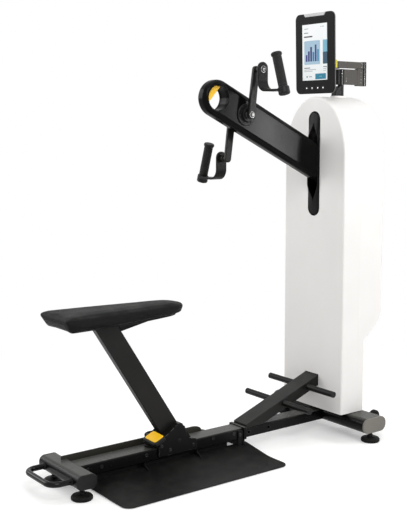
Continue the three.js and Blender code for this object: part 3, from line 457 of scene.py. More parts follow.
def finish(name, dark, light, wornAndHighlightTone, rough, level, cells=1400, depth=0.0001, edgeWearAndHighlight=0.5, dust=0.02, metal=0.0,
           paintedTopLight=None):
    # Two close tones, a range of roughness, a fine grain, rubbed edges and a little dust; the edge tone can
    # also be a painted highlight, and a top tone paints the tops lighter as painted top light
    material, tree, shader = newMaterial(name)
    grain = addGrain(tree, cells, depth)
    marks = addMarks(tree)
    color = blend(tree, grain["Tone"], srgb(dark), srgb(light))
    # Faces that point up get a lighter tone: painted top light
    if paintedTopLight:
        color = blend(tree, marks["Up"], color, srgb(paintedTopLight))
    # Edges take the edge tone: rubbed paint, and on the cheeks and bolts also a painted edge highlight
    color = blend(tree, times(tree, marks["Edge"], edgeWearAndHighlight), color, srgb(wornAndHighlightTone))
    color = blend(tree, times(tree, marks["Dust"], dust), color, srgb(dustTone))
    roughness = ramp(tree, grain["Tone"], 0.0, 1.0, *rough)
    roughness = mathNode(tree, "MULTIPLY_ADD", marks["Scuff"], scuffRoughness, roughness)
    plug(tree, shader, {"Base Color": color, "Roughness": roughness, "Normal": grain["Normal"],
                        "Metallic": metal, "Specular IOR Level": level})
    return material


satinBlack = finish("satin black powder coat", (13, 13, 12), (19, 19, 18), (70, 69, 67), (0.32, 0.44), 0.11)
satinGrey = finish("satin charcoal powder coat", (20, 20, 19), (27, 26, 25), (92, 90, 87), (0.32, 0.44), 0.16)
texturedBlack = finish("textured black powder coat", (14, 14, 14), (17, 17, 17), (60, 60, 60), (0.46, 0.5),
                       0.14, 1100, 0.0003)
# The tops of the rail, stabilizers and beams are painted lighter: painted top light from above
railPaint = finish("smooth rail paint", (9, 9, 9), (12, 12, 12), (92, 90, 87), (0.24, 0.3),
                   0.1, 1200, 0.00006, paintedTopLight=(70, 70, 67))
# Black cheek paint whose pale edges at full share are a painted highlight along the cheeks' top edges
cheekBlackEdgeLit = finish("black cheek paint", (12, 12, 12), (17, 17, 17), (150, 149, 146), (0.3, 0.4),
                    0.1, edgeWearAndHighlight=1.0)
stripPaint = finish("olive grey strip paint", (44, 44, 40), (51, 50, 46), (92, 91, 86), (0.36, 0.46),
                    0.25, 1300, dust=0.03)
glossBlack = finish("glossy black paint", (9, 9, 9), (13, 13, 13), (60, 60, 59), (0.16, 0.22),
                    0.055, 420, 0.00002, 0.35, 0.01)
loopBlack = finish("polished black enamel", (10, 10, 10), (14, 14, 14), (80, 80, 79), (0.12, 0.17),
                   0.16, 420, 0.00002, 0.5, 0.01)
whiteShell = finish("satin white moulding", (229, 227, 225), (232, 230, 228), (240, 239, 237), (0.34, 0.44),
                    0.4, 1100, 0.00006, 0.4)
rubber = finish("black rubber", (11, 11, 11), (17, 17, 17), (46, 46, 46), (0.5, 0.62),
                0.11, 1800, 0.0002, 0.35, 0.03)
lipRubber = finish("smooth lip rubber", (10, 10, 10), (13, 13, 13), (40, 40, 40), (0.36, 0.44),
                   0.12, 1500, edgeWearAndHighlight=0.3)
gripRubber = finish("grip rubber", (22, 22, 22), (32, 32, 31), (62, 62, 61), (0.5, 0.64),
                    0.22, 2200, 0.00028, 0.4, 0.04)
darkPlastic = finish("black moulded plastic", (15, 15, 15), (21, 21, 21), (56, 56, 56), (0.34, 0.46),
                     0.2, 1500, 0.00012, 0.35, 0.03)
bezelPlastic = finish("console plastic", (16, 16, 16), (19, 19, 19), (60, 60, 59), (0.4, 0.48),
                      0.07, 1900, 0.00008, 0.35)
rimPlastic = finish("grey console housing", (70, 70, 70), (80, 80, 79), (120, 120, 119), (0.36, 0.44),
                    0.35, 1500, edgeWearAndHighlight=0.4)
armPaint = finish("grey arm paint", (68, 65, 61), (78, 75, 71), (128, 125, 120), (0.38, 0.48),
                  0.25, edgeWearAndHighlight=0.4, dust=0.04)
capPlastic = finish("grey end cap", (106, 103, 97), (115, 112, 106), (136, 133, 128), (0.42, 0.52),
                    0.3, 1500, 0.00012, 0.4, 0.04)
yellowPlastic = finish("signal yellow plastic", (240, 184, 6), (250, 197, 14), (252, 222, 110), (0.36, 0.46),
                       0.4, 1300, 0.00008, 0.4, 0.03)
swivelYellow = finish("lemon yellow plastic", (198, 186, 44), (210, 198, 56), (232, 226, 150), (0.36, 0.46),
                      0.3, 1300, 0.00008, 0.4, 0.03)
zincSteel = finish("zinc plated steel", (150, 150, 150), (186, 186, 184), (220, 220, 218), (0.24, 0.36),
                   0.5, 900, 0.00005, 0.5, 0.05, 0.9)
# Black bolt steel: the pale edge tone is partly wear and partly painted highlight crescents on the heads
blackOxide = finish("black bolt steel", (20, 20, 21), (30, 30, 31), (96, 96, 96), (0.24, 0.34),
                    0.3, 1200, 0.00005, 0.8, metal=0.5)
print("materials made")


def litMaterial(name, dark, light, strength):
    # Lamps and printed spots that glow a little, with a faint mottle
    # The light bar's diffuser glows a little as a lamp; the printed key spots get the same glow as painted
    # brightness. Both have a faint mottle
    material, tree, shader = newMaterial(name)
    grain = addGrain(tree, 300, 0.00002)
    tone = blend(tree, grain["Tone"], srgb(dark), srgb(light))
    plug(tree, shader, {"Base Color": tone, "Emission Color": tone, "Emission Strength": strength,
                        "Roughness": ramp(tree, grain["Grain"], 0, 1, 0.3, 0.4)})
    return material


lightDiffuser = litMaterial("milky light diffuser", (164, 164, 166), (186, 186, 188), 0.05)
# Printed key dots that glow: painted brightness, not lamps
keyDotGlow = litMaterial("white key dots with painted glow", (236, 236, 238), (250, 250, 250), 0.5)

# Small hardware


def socketBolt(radius, height, washer=0):
    socket = circlePoints(0, 0, radius * 0.5, 6)
    parts = [plate("Z", circlePoints(0, 0, radius, 32), 0, height, 0.7, [socket]),
             disc("Z", radius * 0.7, 0.3, height * 0.45, 0, 24)]
    if washer:
        parts.append(disc("Z", washer, -0.4, 1.0, 0.4))
    return together(*parts)


def sideBolts(sign, x, places, *size):
    return [shifted(socketBolt(*size), aimed(sign * x, y, z, (sign, 0, 0))) for y, z in places]


def addRingedBolt(name, x, reach, turn, on):
    # A bright socket screw in a dark washer with a bright rim, facing outward
    inner = reach - 1.1
    rim = lathe("Z", sleeve(inner, reach, -0.4, 1.5, 0, 0.4, 0.3))
    screw = plate("Z", circlePoints(0, 0, 4.6, 32), 1.2, 4.4, 0.7, [circlePoints(0, 0, 2.4, 6)])
    washer = disc("Z", inner, -0.4, 1.2, 0.3, 48)
    well = disc("Z", 4, 1.2, 2.4, 0, 24)
    for part, meshes, material in (("bolt", (rim, screw), zincSteel), ("washer", (washer, well), blackOxide)):
        mesh = shifted(together(*meshes), aimed(x, 0, 0, (1, 0, 0)))
        addPiece(f"{name}_{part}", turnedOut(mesh, turn), material, None, on)


def weldBead(path, radius, up, closed=True):
    # The overlapping ripples of a weld, laid along a joint
    return tube(path, radius, 8, up, closed, lambda i: 1 + 0.14 * math.sin(i * 1.9))


# Base: stabilizer tubes with end caps, feet, wheels and the carrying loop

stabilizers = {
    "front": {"y": 87, "z": 69, "width": 122, "height": 59, "radius": 27, "halfLength": 271, "footX": 247,
              "step": 0.4, "cap": 9, "capFinish": capPlastic},
    "rear": {"y": -1121, "z": 68, "width": 76, "height": 51, "radius": 21, "halfLength": 134.8, "footX": 97,
             "step": 0.4, "cap": 6, "capFinish": darkPlastic},
}
footProfile = [(0, 0), (34.5, 0, 1), (37, 2.5, 1.5), (37, 10.5, 2), (33, 15, 1.5), (20, 16.2, 1),
               (14, 17.5, 1), (13, 18.5), (0, 18.5)]
wheelSize = {"x": 182, "y": 174.5, "z": 69.5}
tyreProfile = [(13, -9.2), (20, -9.6, 1), (21.5, -10, 1), (25, -6, 2), (25, 6, 2), (21.5, 10, 1),
               (20, 9.6, 1), (13, 9.2), (13, -9.2)]
loopSize = {"halfWidth": 94, "rear": -1233, "z": 67, "radius": 10, "bend": 72, "start": -1159.3}


def makeStabilizer(end, size):
    u0, u1 = size["y"] - size["width"] / 2, size["y"] + size["width"] / 2
    v0, v1 = size["z"] - size["height"] / 2, size["z"] + size["height"] / 2
    inner = size["halfLength"] - size["cap"]
    step = size["step"]
    outline = roundedBox(u0 + step, u1 - step, v0 + step, v1 - step, size["radius"], 12)
    body = plate("X", outline, -inner, inner, step)
    addPiece(f"{end}_stabilizer_tube", body, railPaint, f"{end}_stabilizer")
    for side, sign in sides.items():
        cap = sidePlate(sign, roundedBox(u0, u1, v0, v1, size["radius"], 12), inner, size["halfLength"], 2.2)
        addPiece(f"{end}_{side}_end_cap", cap, size["capFinish"])


def threadProfile(radius, low, high, pitch=1.6):
    profile = []
    for i in range(int((high - low) / pitch)):
        profile += [(radius, low + i * pitch), (radius - 0.8, low + (i + 0.5) * pitch)]
    return [(0, low), *profile, (radius, high), (0, high)]


def makeFoot(end, side, size):
    on = (columnPlace @ moved(sides[side] * size["footX"], size["y"], 0), f"{end}_{side}_foot")
    pad = lathe("Z", footProfile, 56)
    addPiece(f"{end}_{side}_foot_pad", pad, rubber, f"{end}_{side}_levelling_foot", on)
    nut = plate("Z", circlePoints(0, 0, 12, 6), 18, 26, 0.9, steps=2)
    stem = lathe("Z", threadProfile(8, 17, size["z"] - size["height"] / 2 + 1), 24)
    addPiece(f"{end}_{side}_foot_stem", [nut, stem], blackOxide, None, on)


def makeWheel(side):
    x, y, z = wheelSize.values()
    on = (columnPlace @ moved(sides[side] * x, y, z), f"{side}_wheel")
    tyre = lathe("X", tyreProfile, 64)
    addPiece(f"{side}_wheel_tyre", tyre, rubber, f"{side}_transport_wheel", on)
    spokes = [circlePoints(u, v, 2.6, 20) for u, v in circlePoints(0, 0, 9.5, 6)]
    hub = plate("X", circlePoints(0, 0, 14.5, 48), -7.5, 7.5, 1, spokes)
    addPiece(f"{side}_wheel_hub", hub, darkPlastic, None, on)


def makeWheelEars():
    x, y, z = wheelSize.values()
    parts = []
    bolts = []
    for sign in sides.values():
        for offset in (-15, 11):
            low = sign * x + offset
            parts.append(plate("X", roundedBox(136, 188, 55, 84, 12, 8), low, low + 4, 0.8))
        parts.append(shifted(disc("X", 4.8, -12, 12, 0, 24), moved(sign * x, y, z)))
        for way in (-1, 1):
            bolts.append(shifted(socketBolt(5, 2.6, 7), aimed(sign * x + way * 15, y, z, (way, 0, 0))))
    addPiece("wheel_ears", parts, satinBlack)
    addPiece("wheel_axle_bolts", bolts, zincSteel)


def makeCarryingLoop():
    half, rear, bend, start, z = pick(loopSize, "halfWidth rear bend start z")
    corners = [(half, start), (half, rear, bend), (-half, rear, bend), (-half, start)]
    path = [(x, y, z) for x, y in softened(corners, 14, closed=False)]
    collar = lathe("Y", [(10.2, -5), (11.4, -5, 0.8), (11.4, 0, 0.5), (10.2, 0)], 32)
    collars = [shifted(collar, moved(sign * half, start, z)) for sign in sides.values()]
    loop = tube(path, loopSize["radius"], 24)
    addPiece("bent_carrying_loop", [loop, *collars], loopBlack, "carrying_loop")
    beads = []
    for sign in sides.values():
        ring = [(u, start - 0.6, v) for u, v in circlePoints(sign * half, z, 11.6, 45)]
        beads.append(weldBead(ring, 1.8, (0, 1, 0)))
    addPiece("loop_weld_beads", beads, satinBlack)


for end, size in stabilizers.items():
    makeStabilizer(end, size)
    for side in sides:
        makeFoot(end, side, size)
for side in sides:
    makeWheel(side)
makeWheelEars()
makeCarryingLoop()
print("stabilizers, feet, wheels and carrying loop made")

# Base: rail, beams, pegs and footplate

railSize = {"halfWidth": 36, "bottom": 44, "top": 88, "rear": -1110, "front": -388}
flangeSize = {"halfWidth": 46, "bottom": 44, "top": 92, "thickness": 6}
lowerSize = {"halfWidth": 34, "bottom": 46, "top": 86, "end": 70}
slopeSize = {"halfWidth": 39, "thickness": 40, "slope": 20.3, "startY": -372, "startTop": 98, "endY": 19.7}
pegSize = {"radius": 12, "halfLength": 189, "upper": (-58, 196), "lower": (-182, 151)}
footplateSize = {"halfWidth": 271.5, "rear": -1057, "front": -358.5, "corner": 32, "sheet": 3.5, "ridgeX": 20,
                 "ridgeTop": 27, "bendX": 157, "flatTop": 5.5, "rampFrom": -930, "rearTop": 7,
                 "notchX": 18, "notchY": -445, "webX": 14, "webRear": -1030, "under": 43.7}
stripSize = {"inner": 48.5, "outer": 52, "rear": -1082.6, "front": -520, "top": 105.5, "foot": 46,
             "tail": -1118, "tailFoot": 92}
baseBolts = {
    "rail": [(-430.6, 74.1), (-527.6, 75.4), (-824.6, 70.5), (-1008.5, 69.4), (-1063.8, 69.7)],
    "saddle": [(-404, 66)],
    "holes": [-356, -256],
    "holeZ": 66,
    "holeRadius": 6.5,
}


def boxSection(size, start, end):
    half, bottom, top = size["halfWidth"], size["bottom"], size["top"]
    hole = roundedBox(-half + 4, half - 4, bottom + 4, top - 4, 2.5, 4)
    return plate("Y", roundedBox(-half, half, bottom, top, 5, 6), start, end, 0.3, [hole], 1)


def flangePlate(start):
    size = flangeSize
    outline = roundedBox(-size["halfWidth"], size["halfWidth"], size["bottom"], size["top"], 4, 5)
    return plate("Y", outline, start, start + size["thickness"], 0.9, steps=2)


def makeRail():
    rail = [boxSection(railSize, railSize["rear"], railSize["front"]), flangePlate(railSize["front"])]
    addPiece("seat_rail_tube", rail, railPaint, "seat_rail")
    start = railSize["front"] + flangeSize["thickness"] + 0.3
    spots, z, radius = pick(baseBolts, "holes holeZ holeRadius")
    holes = [plate("X", circlePoints(y, z, radius, 32), -60, 60, 0) for y in spots]
    beam = [carved(boxSection(lowerSize, start, lowerSize["end"]), *holes), flangePlate(start)]
    addPiece("lower_beam_tube", beam, railPaint, "lower_beam")


def makeSlopedBeam():
    size = slopeSize
    rear, front = size["startY"], size["endY"]
    rate = math.tan(math.radians(size["slope"]))
    drop = size["thickness"] / cosOf(size["slope"])
    foot = lowerSize["top"] + 0.3
    run = (drop - size["startTop"] + foot) / rate
    endTop = size["startTop"] + (front - rear) * rate
    outline = [(rear, foot), (rear + run, foot), (front, endTop - drop), (front, endTop),
               (rear, size["startTop"])]
    mesh = plate("X", outline, -size["halfWidth"], size["halfWidth"], 2.6, steps=4)
    addPiece("sloped_beam_tube", mesh, satinGrey, "sloped_beam")


def makePegs():
    half, radius = pegSize["halfLength"], pegSize["radius"]
    beads = []
    for name in ("upper", "lower"):
        y, z = pegSize[name]
        place = columnPlace @ moved(0, y, z)
        bar = disc("X", radius, -half + 3, half - 3)
        addPiece(f"{name}_peg_bar", bar, satinBlack, f"{name}_foot_peg", on=(place, "frame"))
        for side, sign in sides.items():
            cap = lathe("X", [(0, 0), (radius, 0), (radius, 3.4, 0.8), (0, 4.2, 6)], 40)
            end = place @ moved(sign * (half - 3.9), 0, 0) @ halfTurned[side]
            addPiece(f"{name}_{side}_peg_plug", cap, darkPlastic, None, (end, "frame"))
            ring = [(sign * 39.6, u, v) for u, v in circlePoints(y, z, 12.6, 36)]
            beads.append(weldBead(ring, 1.6, (1, 0, 0)))
    addPiece("peg_weld_beads", beads, satinBlack)


def footplateTop(x, y=0):
    # Each fold is a bend of about 14 mm and not a sharp line
    size = footplateSize
    soft = 0.06
    share = (size["bendX"] - abs(x)) / (size["bendX"] - size["ridgeX"])
    low = soft * math.log(1 + math.exp(min(share / soft, 60)))
    share = low - soft * math.log(1 + math.exp(min((low - 1) / soft, 60)))
    across = size["flatTop"] + share * (size["ridgeTop"] - size["flatTop"])
    climb = (size["ridgeTop"] - size["rearTop"]) / (size["rampFrom"] - size["rear"])
    rise = size["rearTop"] + (y - size["rear"]) * climb
    return min(across, rise) - 0.7 * math.log(1 + math.exp(-abs(across - rise) / 0.7))


def makeFootplateSheet():
    size = footplateSize
    half, corner, notch, sheet = size["halfWidth"], size["corner"], size["notchX"], size["sheet"]
    fold = size["rampFrom"] + 20
    stations = [-half + corner * (1 - cosOf(a)) for a in range(0, 91, 6)]
    stations += [-half + corner + i * (half - corner - notch) / 34 for i in range(1, 35)]
    stations += [-notch + 0.01, -notch / 2, 0]
    stations += [-x for x in reversed(stations[:-1])]
    rings = []
    for x in stations:
        beyond = max(abs(x) - (half - corner), 0)
        inset = corner - math.sqrt(max(corner ** 2 - beyond ** 2, 0))
        front = size["notchY"] if abs(x) < notch - 0.005 else size["front"]
        y0, y1 = size["rear"] + inset, front - inset
        middle = [y0 + 6 + (fold - y0 - 6) * i / 12 for i in range(13)]
        middle += [fold + (y1 - 6 - size["rampFrom"] - 20) * i / 6 for i in range(1, 7)]
        tops = [(y, footplateTop(x, y)) for y in middle]
        first, last = footplateTop(x, y0), footplateTop(x, y1)
        ring = [(y0 + 0.8, first - sheet), (y0, first - sheet + 0.8), (y0, first - 0.8), (y0 + 0.8, first)]
        ring += tops
        ring += [(y1 - 0.8, last), (y1, last - 0.8), (y1, last - sheet + 0.8), (y1 - 0.8, last - sheet)]
        ring += [(y, top - sheet) for y, top in reversed(tops)]
        rings.append([(x, y, z) for y, z in ring])
    return loft(rings)


def makeFootplate():
    size = footplateSize
    under, web, rear, front = size["under"], size["webX"], size["webRear"], size["notchY"]
    ridge = footplateTop(0) - 1
    slope, shoulder = footplateTop(72) - 1, footplateTop(18) - 1
    parts = [makeFootplateSheet()]
    for y in (-832, -602):
        outline = [(-72, slope), (-18, shoulder), (18, shoulder), (72, slope),
                   (34, 38), (34, under), (-34, under), (-34, 38)]
        parts.append(plate("Y", outline, y, y + 4, 0.5))
    outline = [(rear, footplateTop(0, rear) - 1), (size["rampFrom"], ridge), (front, ridge), (front, under),
               (rear, under)]
    parts += [sidePlate(sign, outline, web - 3, web, 0.5) for sign in sides.values()]
    cover = roundedBox(-web + 1, web - 1, rear + 1, front - 0.5, 1, 2)
    parts.append(plate("Z", cover, under - 3, under - 0.1, 0.5))
    saddle = [(-41, 22), (41, 22), (41, 82), (36.3, 82), (36.3, under), (-36.3, under), (-36.3, 82),
              (-41, 82)]
    parts.append(plate("Y", saddle, -412, -388.3, 0.8))
    parts.append(plate("Z", roundedBox(-41, 41, -395, -381, 1, 2), 22, under, 0.8))
    parts.append(plate("Z", roundedBox(-34, 34, -1046, -1022, 2, 3), footplateTop(0, -1046) - 1, under, 0.8))
    addPiece("folded_footplate", parts, texturedBlack, "footplate")


def makeSideStrip():
    # An upright strip beside the rail, on an angled foot that is stitch welded to the rail
    rear, front, top, foot, tail, tailFoot = pick(stripSize, "rear front top foot tail tailFoot")
    inner, outer = pick(stripSize, "inner outer")
    half = railSize["halfWidth"]
    outline = [(rear, foot), (front, foot), (front, 86),
               *curved((front, 86), (front - 4, top - 3), (front - 38, top)),
               (tail, top, 2), (tail, tailFoot), (-1100, tailFoot),
               *curved((-1100, tailFoot), (rear, 90), (rear, 72), steps=6)]
    upright = plate("X", softened(outline, 3), -outer, -inner, 0.8)
    shelf = plate("Z", roundedBox(-inner - 1.5, -half - 0.3, rear, front, 1, 2), foot, foot + 3.5, 0.6)
    addPiece("rail_edge_strip", [upright, shelf], stripPaint, "rail_side_strip")
    beads = []
    for start in (-1050, -930, -800, -670, -560):
        path = [(-half - 0.8, start + i * 1.6, foot + 3.6) for i in range(18)]
        beads.append(weldBead(path, 1.8, (0, 0, 1), False))
    addPiece("strip_weld_beads", beads, satinBlack)


def makeBaseBolts():
    # Button heads along the rail and on the front saddle, and the rims of the lower beam's bare holes
    bolts = []
    rim = lathe("Z", sleeve(6, 8, -1, 0.7, 0, 0.4, 0.4), 40)
    for sign in sides.values():
        bolts += sideBolts(sign, railSize["halfWidth"], baseBolts["rail"], 7.4, 2.1)
        bolts += sideBolts(sign, 41, baseBolts["saddle"], 5, 2.6, 6.5)
        for y in baseBolts["holes"]:
            place = aimed(sign * lowerSize["halfWidth"], y, baseBolts["holeZ"], (sign, 0, 0))
            bolts.append(shifted(rim, place))
    addPiece("base_bolts", bolts, blackOxide)


makeRail()
makeSlopedBeam()
makePegs()
makeFootplate()
makeSideStrip()
makeBaseBolts()
print("rail, beams, pegs and footplate made")

# Column: shells, slot and what is inside

columnSize = {"halfWidth": 170, "bottom": 100, "shoulder": 1115, "top": 1345, "seam": 90, "wall": 4,
              "depthLow": 120, "depthHigh": 222}
bulgeSize = {"bottom": 384, "slopeY": 185, "slopeZ": 438, "full": 540}
slotSize = {"halfWidth": 32.3, "bottom": 876, "top": 1288}
lipSize = {"openFrom": 1004, "openTo": 1174, "fade": 75, "swell": 115, "sheet": 1.2, "forward": 7}
armSize = {"postY": 140, "radius": 12, "pinRadius": 8.5, "shoulder": 1393, "foot": 1134, "pinTop": 1456}


def archPlate(inset, bottom, low, high, edge=0, steps=3):
    half, shoulder = columnSize["halfWidth"] - inset, columnSize["shoulder"]
    rise = columnSize["top"] - shoulder - inset
    crown = [(half * cosOf(a * 1.5), shoulder + rise * sinOf(a * 1.5)) for a in range(121)]
    return plate("Y", [(-half, bottom), (half, bottom), *crown], low, high, edge, steps=steps)


def keepBox(low, high):
    # What is left of a shell once its rough foot and its far edge are cut off
    bottom = columnSize["bottom"]
    return plate("Y", [(-190, bottom), (190, bottom), (190, 1360), (-190, 1360)], low, high, 0)


def sidePrism(inset):
    # The rear shell from the side: a slim foot, the slope under the bulge and the rounded top
    size, bulge = columnSize, bulgeSize
    back, top, low = size["depthHigh"] - inset, size["top"] + 5, size["depthLow"] - inset
    start = (bulge["slopeY"] - 0.64 * inset, bulge["slopeZ"] + 0.77 * inset)
    foot = size["bottom"] - (5 if inset else 0)
    full = bulge["full"]
    outline = [(size["seam"] - 5, foot), (low, foot), (low, bulge["bottom"] + 0.47 * inset), start,
               *curved(start, (start[0] + 21.5, start[1] + 17.9), (back, full - 45), (back, full), steps=20),
               *curved((back, top - 80), (back, top - 30), (back - 25, top), (back - 75, top), steps=16),
               (size["seam"] - 5, top)]
    return plate("X", outline, -200, 200, 0)


def slotOutline(grow):
    half = slotSize["halfWidth"] + grow
    return roundedBox(-half, half, slotSize["bottom"] - grow, slotSize["top"] + grow, half, 12)


def makeFrontShell():
    bottom, seam, wall = columnSize["bottom"], columnSize["seam"], columnSize["wall"]
    body = archPlate(0, bottom - 20, 0, seam + 20, 7, 5)
    shell = carved(body, keepBox(-20, seam - 0.15), operation="INTERSECT")
    hollow = archPlate(wall, 60, wall, seam + 30, 4, 2)
    slot = plate("Y", slotOutline(0.3), -5, 10, 0)
    passage = plate("Y", [(-39.3, 190), (39.3, 190), (39.3, 238), (-39.3, 238)], -5, 10, 0)
    shell = carved(shell, hollow, slot, passage)
    addPiece("front_shell_moulding", shell, whiteShell, "front_shell", sharp=24)


def makeRearShell():
    bottom, wall, top, back = pick(columnSize, "bottom wall top depthHigh")
    seam = columnSize["seam"] + 0.15
    body = archPlate(0, bottom - 20, seam - 20, back, 12, 6)
    body = carved(body, keepBox(seam, back + 5), sidePrism(0), operation="INTERSECT")
    hollow = carved(archPlate(wall, bottom - 5, seam - 5, back), sidePrism(wall), operation="INTERSECT")
    boss = plate("Z", roundedBox(-19, 19, 93, 160, 14, 8), top - 5, top + 5, 1.5, steps=3)
    hole = plate("Z", circlePoints(0, armSize["postY"], 13, 48), top - 30, top + 10, 0)
    shell = carved(carved(carved(body, hollow), boss, operation="UNION"), hole)
    addPiece("rear_shell_moulding", shell, whiteShell, "rear_shell", sharp=24)


def smoothShare(value):
    share = min(max(value, 0), 1)
    return share * share * (3 - 2 * share)


def makeSlotLip(side):
    sign = sides[side]
    bottom, top, lip, sheet = slotSize["bottom"], slotSize["top"], lipSize, lipSize["sheet"]
    rounding = slotSize["halfWidth"] - 3
    stations = [k / 8 for k in range(9)]
    rings = []
    for i in range(81):
        z = bottom + 6 + (top - bottom - 12) * i / 80
        away = max(lip["openFrom"] - z, z - lip["openTo"], 0)
        opened = smoothShare(1 - away / lip["fade"])
        forward = -2 - lip["forward"] * smoothShare(1 - away / lip["swell"])
        toEnd = min(z - bottom, top - z) - 3
        root = math.sqrt(rounding ** 2 - (rounding - toEnd) ** 2) if toEnd < rounding else rounding + 0.8
        free = min(0.4 + opened * (28 + sheet - 0.1), root - 0.5)

        def sheetPoint(t, thick):
            x = (1 - t) ** 2 * root + 2 * t * (1 - t) * (root - 1 + opened) + t * t * free
            y = (1 - t) ** 2 * 2 + 2 * t * (1 - t) * forward * 0.9 + t * t * forward
            return (sign * (x - thick * opened), y + thick * (1 - opened), z)

        outside = [sheetPoint(t, 0) for t in stations]
        rings.append(outside + [sheetPoint(t, sheet) for t in reversed(stations)])
    addPiece(f"{side}_parting_lip", loft(rings), lipRubber, f"{side}_slot_lip", sharp=50)


def makeArmPost():
    y, radius, shoulder, pin, foot, pinTop = pick(armSize, "postY radius shoulder pinRadius foot pinTop")
    profile = [(0, foot), (radius, foot), (radius, shoulder, 0.8), (pin, shoulder), (pin, pinTop, 0.8),
               (0, pinTop)]
    bridge = plate("Z", roundedBox(-67, 67, 112, 168, 2, 3), 1130.3, 1138, 0.5)
    post = [shifted(lathe("Z", profile, 56), moved(0, y, 0)), bridge]
    addPiece("arm_post_tube", post, armPaint, "console_arm_post")
    outline = [(100, 1350.3, 1.5), (133, 1350.3, 1), (133, 1389, 2), (122, 1389, 5), (102, 1368, 6)]
    cowl = plate("X", softened(outline, 6), -13, 13, 2.4, steps=4)
    bore = plate("Z", circlePoints(0, 0, radius + 0.3, 48), 1330, 1400, 0)
    addPiece("arm_post_cover", carved(cowl, shifted(bore, moved(0, y, 0))), darkPlastic, "arm_post_cowl")


makeFrontShell()
makeRearShell()
trim = plate("Y", slotOutline(0), -1, 5, 0.6, [slotOutline(-1.8)])
addPiece("slot_trim_ring", trim, lipRubber, "slot_trim")
for side in sides:
    makeSlotLip(side)
makeArmPost()
print("column made")

# Boom with its grip hole, trigger and bearing covers

boomSize = {"capY": -669, "halfHeight": 67, "halfWidth": 28, "edge": 20}
headSize = {"y": -674.5, "z": -2, "radius": 45.5, "rimInner": 14.8}
triggerSize = {"chord": 14, "tilt": 163, "halfThickness": 14, "travel": 9.2}
bearingProfile = [(12.4, 28.3), (41, 28.3), (41, 31.3, 1), (38.5, 32.8, 1), (30, 32.8, 1), (28.5, 31.6, 0.6),
                  (26.5, 31.8, 0.6), (25, 43.3, 1.4), (20, 43.3, 0.8), (19, 41.8, 0.6), (14, 41.8, 0.6),
                  (12.4, 43, 0.3), (12.4, 28.3)]


def makeBoom():
    cap, half, wide = boomSize["capY"], boomSize["halfHeight"], boomSize["halfWidth"]
    outline = arcPoints(0, 0, half, -90, 90, 40) + arcPoints(cap, 0, half, 90, 270, 40)
    body = plate("X", outline, -wide, wide, boomSize["edge"], steps=9)
    y, z, radius, inner = pick(headSize, "y z radius rimInner")
    hole = plate("X", circlePoints(y, z, radius, 96), -60, 60, 0)
    tilt, along = triggerSize["tilt"], triggerSize["travel"]
    pocketSpot = (y + along * cosOf(tilt), z + along * sinOf(tilt))
    pocket = plate("X", circlePoints(*pocketSpot, radius, 96), -14.3, 14.3, 0)
    addPiece("boom_beam", carved(body, hole, pocket), glossBlack, "boom_housing", onBoom, 30)
    rim = lathe("X", sleeve(radius, radius + 6, inner, wide + 1, 0, 1.2, 1.2), 96)
    rims = [shifted(rim, moved(0, y, z) @ halfTurned[side]) for side in sides]
    addPiece("head_hole_rim", rims, glossBlack, None, onBoom)


def makeTrigger():
    radius, tilt, thick = headSize["radius"] - 0.3, triggerSize["tilt"], triggerSize["halfThickness"]
    half = math.degrees(math.acos(triggerSize["chord"] / radius))
    grip = plate("X", arcPoints(0, 0, radius, tilt - half, tilt + half, 36), -thick, thick, 2.4, steps=4)
    on = (boomPlace @ moved(0, headSize["y"], headSize["z"]), "release_trigger")
    addPiece("yellow_trigger", grip, yellowPlastic, "boom_release_trigger", on)


def makeBearing(side):
    on = (boomPlace @ moved(0, joints["axleY"], 0) @ halfTurned[side], "boom")
    cover = lathe("X", bearingProfile, 72)
    addPiece(f"{side}_bearing_cover", cover, darkPlastic, f"{side}_crank_bearing", on=on)
    screws = sideBolts(1, 32.2, arcPoints(0, 0, 34.3, 30, 390, 6)[:-1], 3.1, 1.8)
    addPiece(f"{side}_bearing_screws", screws, blackOxide, None, on)


makeBoom()
makeTrigger()
for side in sides:
    makeBearing(side)
print("boom made")

# Cranks, brackets and grips

crankSize = {"inner": 50, "outer": 63, "rootRadius": 15.5, "tipRadius": 13.8}
spindleProfile = [(0, 58), (9, 58), (9, 75, 0.5), (13, 76, 0.8), (13, 91.2, 0.8), (7, 91.2), (7, 100.3),
                  (0, 100.3)]
bracketSize = {"inner": 91.5, "outer": 99.5, "halfWidth": 23, "bend": 40, "lobeTop": 26.5}
gripSize = {"footX": 214, "headX": 170, "drop": 81, "rise": 54, "ribs": 24, "firstRib": 24, "pitch": 4.3}
standProfile = [(0, -12), (19, -12, 1.5), (21, -9, 1.5), (21, 13, 1.5), (18, 16, 1.5), (9.5, 16), (0, 16)]
# The left crank is the right one mirrored, then turned half round
crankTurn = {"left": tipped(180) @ mirrored["left"], "right": identity}


def makeCrank(side):
    length = joints["crankLength"]
    inner, outer, root, tip = pick(crankSize, "inner outer rootRadius tipRadius")
    outline = arcPoints(0, 0, root, 175, 365, 24) + arcPoints(0, length, tip, 0, 180, 24)
    arm = plate("X", outline, inner, outer, 2.8, steps=4)
    spindle = shifted(lathe("X", spindleProfile, 40), moved(0, 0, length))
    mesh = turnedOut(together(arm, spindle), crankTurn[side])
    addPiece(f"{side}_crank_arm", mesh, satinGrey, f"{side}_crank", on=onCranks)
    addRingedBolt(f"{side}_crank", 63.4, 11.3, crankTurn[side], onCranks)


